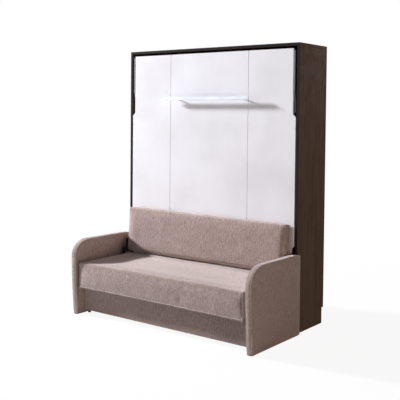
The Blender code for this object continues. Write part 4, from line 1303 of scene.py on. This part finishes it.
@dataclass
class SofaArm:
    """An upholstered arm: a band round its outline, two soft faces and a welt along both edges."""

    name: str
    side: int
    nose: tuple[float, float] = (0.165, 0.126)
    tail: tuple[float, float] = (0.140, 0.016)
    foot_setback: float = 0.027
    lift: float = 0.003
    edge: float = 0.010
    crown: float = 0.005
    crown_reach: float = 0.04
    outline_points: tuple[int, int, int] = (24, 28, 10)
    corner_points: int = 8
    near_steps: tuple[float, float, int] = (0.02, 0.10, 9)
    far_steps: tuple[float, float, int] = (0.12, 0.27, 12)
    band: tuple[float, float] = (0.0012, 0.22)
    foot_share: float = 0.2
    foot_reach: float = 0.035
    welt: tuple[float, float] = (0.0022, 0.0026)
    welt_shares: tuple[float, float, float] = (0.35, 0.3, 1.5)
    welt_lift: float = 0.0002
    spacing: float = 0.010
    wave_depth: float = 0.0005
    glide_radius: float = 0.015
    glide_edge: float = 0.002
    glide_inset: float = 0.059
    glide_sides: int = 24

    def box(self) -> tuple[Vector, Vector]:
        """Returns the solid's lowest and highest corner."""
        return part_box(f"arm_{self.name}")

    def outline(self) -> Array:
        """Returns the arm's side view as a closed path of even steps.

        It goes up the bulging front, which is a quarter of a sine, over the elliptical nose, down
        the elliptical tail and back along the foot. Its X is the middle of the arm's thickness.

        Returns:
            The points.
        """
        low, high = self.box()
        nose_z = high.z - self.nose[1]
        foot = low.y + self.foot_setback
        front_points, nose_points, tail_points = self.outline_points
        up = np.linspace(0.0, 1.0, front_points)[:-1]
        turn = np.linspace(pi, pi / 2, nose_points)
        fall = np.linspace(pi / 2, 0.0, tail_points)
        y = np.concatenate([foot + (low.y - foot) * np.sin(up * pi / 2),
                            low.y + self.nose[0] + self.nose[0] * np.cos(turn),
                            high.y - self.tail[0] + self.tail[0] * np.cos(fall), [high.y, foot]])
        z = np.concatenate([self.lift + (nose_z - self.lift) * up,
                            nose_z + self.nose[1] * np.sin(turn),
                            high.z - self.tail[1] + self.tail[1] * np.sin(fall), [self.lift] * 2])
        path = np.stack([np.full(len(y), (low.x + high.x) / 2), y, z], axis=1)
        return resample(path, self.spacing, closed=True)

    def build(self) -> None:
        """Makes the arm, its welts and its glides.

        The grid's rings are the outline, shrunk and moved across step by step.
        """
        low, high = self.box()
        half = (high.x - low.x) / 2
        outline = self.outline()
        middle = np.array([outline[0, 0], outline[:, 1].mean(), (low.z + high.z) / 2])
        layers = []
        for inward, across in self.rings(half):
            layers.append(self.shrunk(outline, middle, inward))
            layers[-1][:, 0] += across
        points = np.stack(layers)
        faces = grid_faces(*points.shape[:2])
        soft = self.softened(points.reshape(-1, 3), half)
        piece = put_mesh(f"sofa_arm_{self.name}", soft, faces, UPHOLSTERY)
        close_mesh(piece, 0.0004)
        settle(piece, "root", "upholstery", f"arm_{self.name}")
        self.trimmed(piece, outline, middle, half)
        self.footed(low, high)

    def rings(self, half: float) -> list[tuple[float, float]]:
        """Returns the arm's section: how far in and how far across each ring of the grid lies.

        Args:
            half: Half the arm's thickness.

        Returns:
            The rings from the middle of one face, round the band, to the middle of the other.
        """
        edge = self.edge
        corner = [(edge - edge * sin(angle), half - self.crown - edge + edge * cos(angle))
                  for angle in np.linspace(0, pi / 2, self.corner_points)]
        steps = np.concatenate([np.linspace(*self.near_steps), np.linspace(*self.far_steps)])
        face = [(edge + step,
                 half - self.crown + self.crown * (1 - np.exp(-step / self.crown_reach)))
                for step in steps]
        upper = face[::-1] + corner
        lower = [(inward, -across) for inward, across in upper[::-1]]
        proud, share = self.band
        band = [(-proud, across) for across in np.linspace(half * share, -half * share, 3)]
        return upper + band + lower

    def shrunk(self, outline: Array, middle: Array, inward: float) -> Array:
        """Moves an outline's points towards its middle, less so near the foot.

        Args:
            outline: The outline.
            middle: Its middle.
            inward: How far, at most as far as the middle.

        Returns:
            The moved points.
        """
        away = outline - middle
        reach = np.linalg.norm(away[:, 1:], axis=1, keepdims=True)
        height = np.clip((outline[:, 2:] - self.lift) / self.foot_reach, 0.0, 1.0)
        kept = min(max(inward, 0.0), self.edge) * (self.foot_share - 1) * (1 - height)
        share = np.clip(1 - (kept + inward) / reach, 0.0, 2.0)
        late = np.clip(inward / (self.far_steps[1] + self.edge), 0.0, 1.0) ** 3
        return middle + away * (share * (1 - late))

    def softened(self, points: Array, half: float) -> Array:
        """Lets the faces undulate as stretched cloth over foam does.

        The waves are sums of sines along Y and Z, up to about a millimetre deep.

        Args:
            points: The arm's points.
            half: Half its thickness.

        Returns:
            The moved points.
        """
        low, high = self.box()
        moved = points.copy()
        away = points[:, 0] - (low.x + high.x) / 2
        face = np.clip(np.abs(away) / half, 0.0, 1.0) ** 6
        waves = ((1.0, 21, 9, self.side), (1.0, -13, 26, 0.0), (0.6, 47, 31, 0.0))
        wave = Ripple(self.wave_depth, waves).over(points[:, 1], points[:, 2])
        moved[:, 0] += np.sign(away) * wave * face
        return moved

    def trimmed(self, piece: Piece, outline: Array, middle: Array, half: float) -> None:
        """Sews a welt along both edges of the band, from foot to foot.

        Args:
            piece: The arm.
            outline: Its side view.
            middle: The outline's middle.
            half: Half the arm's thickness.
        """
        inward, across, foot = (self.edge * share for share in self.welt_shares)
        for label, side in (("inner", -self.side), ("outer", self.side)):
            path = self.shrunk(outline, middle, inward)
            path[:, 0] += side * (half - self.crown - across)
            path = path[path[:, 2] > self.lift + foot]
            steps = np.linalg.norm(np.diff(path, axis=0), axis=1)
            if steps.max() > self.spacing * 3:
                path = np.roll(path, -(int(np.argmax(steps)) + 1), axis=0)
            path = laid_on(piece, path, self.welt_lift)
            welt = sweep(f"arm_welt_{label}_{self.name}", path, self.welt, (1, 0, 0), WELT)
            settle(welt, "root", "upholstery")

    def footed(self, low: Vector, high: Vector) -> None:
        """Makes the two turned glides under the arm.

        Args:
            low: The arm's lowest corner.
            high: Its highest corner.
        """
        radius, edge, top = self.glide_radius, self.glide_edge, self.lift + self.glide_edge
        profile = np.array([(0.0, 0.0), (radius - edge, 0.0), (radius - edge * 0.3, edge * 0.3),
                            (radius, edge), (radius, top), (0.0, top)])
        out, z = profile[:, :1], profile[:, 1:]
        sides = self.glide_sides
        angle = np.arange(sides) * 2 * pi / sides
        front = low.y + self.foot_setback + self.glide_inset
        for label, y in (("front", front), ("rear", high.y - self.glide_inset)):
            points = np.stack([(low.x + high.x) / 2 + out * np.cos(angle), y + out * np.sin(angle),
                               np.broadcast_to(z, (len(profile), sides))], axis=2)
            glide = put_mesh(f"arm_glide_{label}_{self.name}", points.reshape(-1, 3),
                             grid_faces(len(profile), sides), BLACK_PLASTIC)
            close_mesh(glide)
            settle(glide, "root", "black_plastic")


@dataclass
class SeatCushion:
    """The seat: one long cushion with a deep front, blown up from its solid.

    Its moves take the points, their normals and the cushion's two corners, and return new points.
    """

    foam: Foam = field(default_factory=Foam)
    proud_low: Point = (0.010, 0.003, 0.0)
    proud_high: Point = (0.010, 0.0, 0.0)
    roll_reach: float = 0.11
    roll_depth: float = 0.05
    roll_rise: float = 0.013
    end_bulge: float = 0.007
    nose_back: float = -0.4695
    nose_top: float = 0.368
    over: Ripple = Ripple(0.0009, ((1.0, 9.5, 6, 0.0), (0.7, 17, -11, 0.0), (0.5, 5, 24, 0.0)))
    down: Ripple = Ripple(0.0004, ((1.0, 31, 7, 0.0), (0.8, 53, -12, 0.0), (0.6, 13, 0, 0.0)))
    welt: tuple[float, float] = (0.0016, 0.0018)
    seam_inset: float = 0.016
    seam_points: tuple[int, int, int] = (160, 30, 60)
    end_inset: float = 0.004
    end_top_share: float = 1.6
    end_spacing: float = 0.008
    stitch_rise: float = 0.006
    stitch_lift: float = 0.0003
    corners: tuple[Corner, ...] = (
        Corner(Axis.Y, -1, Axis.Z, -1),
        Corner(Axis.Y, -1, Axis.Z, 1, 0.05, 0.8),
        Corner(Axis.X, -1, Axis.Y, -1, 0.025, 0.6),
        Corner(Axis.X, 1, Axis.Y, -1, 0.025, 0.6),
        Corner(Axis.X, -1, Axis.Z, -1, 0.025, 0.6),
        Corner(Axis.X, 1, Axis.Z, -1, 0.025, 0.6),
        Corner(Axis.X, -1, Axis.Z, 1, 0.02, 0.5),
        Corner(Axis.X, 1, Axis.Z, 1, 0.02, 0.5),
    )

    def build(self) -> None:
        """Makes the cushion and its seams."""
        piece, low, high = self.foam.cushion("seat_cushion", "seat_pad", Matrix())
        low, high = low - np.array(self.proud_low), high + np.array(self.proud_high)
        fitted(piece, low, high)
        reshape(piece, low, high, self.sharpened, self.rolled, self.bulged, self.rippled,
                self.cleared)
        settle(piece, "seat", "upholstery", "seat_cushion")
        self.seamed(piece)

    def sharpened(self, points: Array, normals: Array, low: Array, high: Array) -> Array:
        """Sharpens the sewn edges one after another."""
        for corner in self.corners:
            corner.sharpen(points, low, high)
        return points

    def rolled(self, points: Array, normals: Array, low: Array, high: Array) -> Array:
        """Raises the rear of the top into a soft roll that meets the foot of the backrest.

        The rise is a smooth step along Y, times how far up the thickness a point lies.
        """
        share = eased((points[:, 1] - high[1] + self.roll_reach) / (self.roll_reach * 0.5))
        upper = np.clip(1.0 - (high[2] - points[:, 2]) / self.roll_depth, 0.0, 1.0)
        points[:, 2] += self.roll_rise * share * upper
        return points

    def bulged(self, points: Array, normals: Array, low: Array, high: Array) -> Array:
        """Bows both ends out, by half a sine from their lower edge to their upper one."""
        share = np.clip((points[:, 2] - low[2]) / (high[2] - low[2]), 0.0, 1.0)
        outward = normals[:, 0]
        points[:, 0] += np.sign(outward) * outward ** 2 * np.sin(share * pi) * self.end_bulge
        return points

    def rippled(self, points: Array, normals: Array, low: Array, high: Array) -> Array:
        """Adds the slack of the cloth: long shallow waves across the top, upright ones in front."""
        x, y, z = points.T
        over = self.over.over(x, y) * looking(normals, Axis.Z, 1, 3)
        down = self.down.over(x, z) * looking(normals, Axis.Y, -1, 3)
        return points + normals * (over + down)[:, None]

    def cleared(self, points: Array, normals: Array, low: Array, high: Array) -> Array:
        """Keeps the back of the deep front flat, so that it passes the apron as the seat sinks."""
        low_down = points[:, 2] < self.nose_top
        points[low_down, 1] = np.minimum(points[low_down, 1], self.nose_back)
        return points

    def seamed(self, piece: Piece) -> None:
        """Sews the seams: along the front's lower edge, and up the front and over the top at both
        ends.

        Args:
            piece: The cushion.
        """
        low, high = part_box("seat_cushion")
        inset = self.seam_inset
        hem_points, end_points, top_points = self.seam_points
        hem = np.linspace((low.x + inset, low.y, low.z + inset),
                          (high.x - inset, low.y, low.z + inset), hem_points)
        welt = sweep("seat_hem", laid_on(piece, hem), self.welt, (0, 0, 1), WELT)
        settle(welt, "seat", "upholstery")
        row = laid_on(piece, hem + np.array([0, 0, self.stitch_rise]), self.stitch_lift)
        settle(Stitching().along("seat_hem_stitches", row, (0, 0, 1)), "seat", "upholstery")
        for name, side in SIDES:
            x = (high.x if side > 0 else low.x) - side * self.end_inset
            y = low.y + self.end_inset
            up = np.linspace((x, y, low.z + inset), (x, y, high.z - inset * self.end_top_share),
                             end_points)
            back = np.linspace((x, low.y + inset, high.z - inset),
                               (x, high.y - inset, high.z - inset), top_points)
            path = resample(laid_on(piece, np.concatenate([up, back])), self.end_spacing)
            welt = sweep(f"seat_welt_{name}", path, self.welt, (1, 0, 0), WELT)
            settle(welt, "seat", "upholstery")


@dataclass
class BackrestCushion:
    """The backrest: one long upright cushion, blown up square to its grid and leant back again.

    Its moves take the points, their normals and the cushion's two corners, and return new points.
    """

    foam: Foam = field(default_factory=lambda: Foam(firm_side=(0.0, 1.0, 0.0)))
    lean: float = 5.0
    pivot: tuple[float, float] = (0.0065, 0.474)
    proud_low: Point = (0.012, -0.018, 0.001)
    proud_high: Point = (0.018, 0.003, 0.016)
    tuck_reach: float = 0.04
    tuck_depth: float = 0.022
    down: Ripple = Ripple(0.00025, ((1.0, 37, 5, 0.0), (0.8, 61, -9, 0.0), (0.9, 17, 0, 1.1)))
    over: Ripple = Ripple(0.0014, ((1.0, 11, 0, 0.0), (0.6, 27, 0, 0.6)))
    top_slope: float = 0.006
    welt: tuple[float, float] = (0.0018, 0.002)
    welt_inset: float = 0.006
    welt_spacing: float = 0.01

    def build(self) -> None:
        """Makes the cushion and its seam."""
        centre = Matrix.Translation((0, *self.pivot))
        upright = centre @ Matrix.Rotation(radians(self.lean), 4, "X") @ centre.inverted()
        piece, low, high = self.foam.cushion("backrest_cushion", "backrest_pad", upright)
        fitted(piece, low - np.array(self.proud_low), high + np.array(self.proud_high))
        reshape(piece, low, high, self.rippled)
        points = read_points(piece.data)
        low, high = points.min(0), points.max(0)
        reshape(piece, low, high, self.tucked)
        self.seamed(piece, low, high, upright.inverted())
        piece.data.transform(upright.inverted())
        settle(piece, "backrest", "upholstery", "backrest_cushion")

    def rippled(self, points: Array, normals: Array, low: Array, high: Array) -> Array:
        """Adds upright creases down the front and a slow wave along the top."""
        x, _, z = points.T
        down = self.down.over(x, z) * looking(normals, Axis.Y, -1, 3)
        over = (self.over.over(x, z) - x * self.top_slope) * looking(normals, Axis.Z, 1, 2)
        return points + normals * (down + over)[:, None]

    def tucked(self, points: Array, normals: Array, low: Array, high: Array) -> Array:
        """Rolls the foot of the front back under, by the square of how near a point is to it."""
        near = np.clip(1.0 - (points[:, 2] - low[2]) / self.tuck_reach, 0.0, 1.0)
        share = np.clip((high[1] - points[:, 1]) / (high[1] - low[1]), 0.0, 1.0)
        points[:, 1] += self.tuck_depth * near * near * share
        return points

    def seamed(self, piece: Piece, low: Array, high: Array, lean: Matrix) -> None:
        """Sews a welt round the front face.

        Args:
            piece: The cushion, upright.
            low: Its lowest corner.
            high: Its highest corner.
            lean: Leans the seam back with it.
        """
        inset, spacing = self.welt_inset, self.welt_spacing
        x = (low[0] + inset, high[0] - inset)
        y = low[1] + inset * 1.5
        z = (low[2] + inset, high[2] - inset)
        loop = np.array([(x[1], y, z[0]), (x[1], y, z[1]), (x[0], y, z[1]), (x[0], y, z[0])])
        path = laid_on(piece, resample(loop, spacing, closed=True))
        path = resample(path, spacing, closed=True)
        welt = sweep("backrest_welt", path, self.welt, (0, 1, 0), WELT, closed=True)
        welt.data.transform(lean)
        settle(welt, "backrest", "upholstery")


@dataclass
class SofaBase:
    """The upholstered apron, and the rails, rods and plates behind it."""

    radius: float = 0.008
    spacing: float = 0.012
    recess: float = 0.008
    sink: float = 0.0005
    wave: Ripple = Ripple(0.0005, ((1.0, 23, 8, 0.0), (0.7, 41, -15, 0.0)))

    def build(self) -> None:
        """Makes the apron's cover and dresses what carries the seat."""
        low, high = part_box("apron")
        low.y += self.recess
        piece = rounded_block("apron_cover", low, high, self.radius, self.spacing, UPHOLSTERY)
        reshape(piece, low, high, self.rippled)
        settle(piece, "root", "upholstery", "apron")
        dress_nodes(PINE_DEEP, "base_rail_left", "base_rail_right")
        dress_nodes(PINE_ACROSS, "base_rail_rear")
        dress_nodes(SEAT_PLY, "seat_board")
        for name, _ in SIDES:
            dress_nodes(ROD_STEEL, f"guide_rod_front_{name}", f"guide_rod_rear_{name}")
            dress_nodes(ZINC, f"arm_tie_plate_{name}")
            # The backrest brackets and end plates are black steel, chosen dark as painted shade so
            # that they merge with the shade between the arms and the backrest.
            dress_nodes(BLACK_STEEL, f"backrest_bracket_{name}", f"backrest_end_plate_{name}")
            dress_nodes(BLACK_PLASTIC, f"seat_slide_{name}")

    def rippled(self, points: Array, normals: Array, low: Vector, high: Vector) -> Array:
        """Adds shallow upright waves to the front, which sink it a little."""
        wave = self.wave.over(points[:, 0], points[:, 2]) - self.sink
        return points + normals * (wave * looking(normals, Axis.Y, -1, 3))[:, None]


@dataclass
class GasSprings:
    """The two gas springs with their plates."""

    def build(self) -> None:
        """Dresses the barrels, rods and plates."""
        for name, _ in SIDES:
            dress_nodes(BLACK_STEEL, f"gas_barrel_{name}")
            dress_nodes(ROD_STEEL, f"gas_rod_{name}")
            dress_nodes(ZINC, f"spring_plate_{name}")


@dataclass(frozen=True)
class Lamp:
    """A square softbox: its name, place, size, power and colour."""

    name: str
    place: Point
    size: float
    power: float
    tint: Colour

    def build(self, scene: bpy.types.Scene, target: Point) -> None:
        """Makes the softbox.

        Args:
            scene: The scene that it lights.
            target: The place that it points at.
        """
        data = bpy.data.lights.new(self.name, "AREA")
        data.shape = "SQUARE"
        data.size = self.size
        data.energy = self.power
        data.color = linear(self.tint)[:3]
        lamp = bpy.data.objects.new(self.name, data)
        lamp.location = self.place
        ahead = Vector(target) - Vector(self.place)
        lamp.rotation_euler = ahead.to_track_quat("-Z", "Y").to_euler()
        scene.collection.objects.link(lamp)


@dataclass
class Studio:
    """The camera at the photograph's view, the lamps, the world and the floor."""

    place: Point = (3.6145, -4.7522, 1.6444)
    yaw: float = 0.6519
    tilt: float = 0.0367
    roll: float = 0.0092
    lens: float = 66.82
    shift: tuple[float, float] = (0.00715, -0.1424)
    farthest: float = 200.0
    target: Point = (0.0, 0.0, 0.9)
    fill: float = 0.045
    fill_tint: Colour = (255, 236, 218)
    floor_half: float = 30.0
    floor_glow: float = 0.92
    floor_bounce: float = 0.45
    floor_white: float = 0.95
    glow_reach: tuple[float, float] = (2.0, 4.5)
    lamps: tuple[Lamp, ...] = (
        Lamp("softbox_left", (-10.5, -2.4, 5.2), 1.05, 3330.0, (248, 250, 255)),
        Lamp("softbox_front", (-1.2, -7.0, 3.0), 2.5, 42.0, (255, 252, 250)),
        Lamp("softbox_right", (7.0, -2.0, 0.5), 0.9, 98.0, (255, 232, 214)),
        Lamp("softbox_rear", (1.5, 7.5, 3.2), 2.5, 130.0, (255, 252, 250)),
    )

    def build(self) -> None:
        """Makes the camera, the lamps, the world and the floor."""
        scene = bpy.context.scene
        scene.view_settings.view_transform = "Standard"
        self.camera(scene)
        for lamp in self.lamps:
            lamp.build(scene, self.target)
        self.world(scene)
        self.floor()

    def camera(self, scene: bpy.types.Scene) -> None:
        """Makes the camera from its heading, its tilt down and its roll.

        Args:
            scene: The scene that looks through it.
        """
        level = cos(self.tilt)
        ahead = Vector((-sin(self.yaw) * level, cos(self.yaw) * level, -sin(self.tilt)))
        right = Vector((cos(self.yaw), sin(self.yaw), 0.0))
        up = right.cross(ahead)
        across = right * cos(self.roll) + up * sin(self.roll)
        upward = up * cos(self.roll) - right * sin(self.roll)
        data = bpy.data.cameras.new("camera")
        data.lens = self.lens
        data.shift_x, data.shift_y = self.shift
        data.clip_end = self.farthest
        camera = bpy.data.objects.new("camera", data)
        turn = Matrix((across, upward, -ahead)).transposed().to_4x4()
        camera.matrix_world = Matrix.Translation(self.place) @ turn
        scene.collection.objects.link(camera)
        scene.camera = camera

    def world(self, scene: bpy.types.Scene) -> None:
        """Makes a world that looks white and lights the object softly.

        Args:
            scene: The scene that it surrounds.
        """
        world = bpy.data.worlds.new("studio")
        world.use_nodes = True
        graph = Graph(world.node_tree)
        background = world.node_tree.nodes["Background"].inputs
        seen = graph.seen()
        graph.feed(background["Color"], graph.tint(seen, linear(self.fill_tint), WHITE))
        graph.feed(background["Strength"], graph.choose(seen, self.fill, 1.0))
        scene.world = world

    def floor(self) -> None:
        """Makes the pale floor.

        It keeps a light shadow of the object and fades to white further out.
        """
        corners = ((-1, -1, 0), (1, -1, 0), (1, 1, 0), (-1, 1, 0))
        points = np.array(corners) * self.floor_half
        plane = put_mesh("studio_floor", points, np.array([[0, 1, 2, 3]]), THREAD)
        material = bpy.data.materials.new("pale floor")
        material.use_nodes = True
        nodes = material.node_tree.nodes
        nodes.remove(nodes["Principled BSDF"])
        graph = Graph(material.node_tree)
        seen = graph.seen()
        tones = [(tone, tone, tone, 1.0) for tone in (self.floor_bounce, self.floor_white)]
        diffuse = graph.put("ShaderNodeBsdfDiffuse", {"Color": graph.tint(seen, *tones)})
        glow = graph.put("ShaderNodeEmission")
        place = graph.put("ShaderNodeTexCoord").outputs["Object"]
        distance = graph.put("ShaderNodeVectorMath", {0: place}, operation="LENGTH")
        share = graph.band(distance.outputs["Value"], *self.glow_reach, self.floor_glow, 1.0)
        mixed = {0: graph.math("MULTIPLY", seen, share), 1: diffuse.outputs[0], 2: glow.outputs[0]}
        mix = graph.put("ShaderNodeMixShader", mixed)
        graph.feed(nodes["Material Output"].inputs["Surface"], mix.outputs[0])
        plane.data.materials.clear()
        plane.data.materials.append(material)


def main() -> None:
    """Builds the studio and every sub-assembly in order."""
    logging.basicConfig(level=logging.INFO, format="%(name)s: %(message)s")
    for part in (Studio(), Cabinet(), BedFront(), BedFrame(), Mattress(), GasSprings(),
                 *(SofaArm(name, side) for name, side in SIDES), SeatCushion(),
                 BackrestCushion(), SofaBase()):
        part.build()


if __name__ == "__main__":
    main()
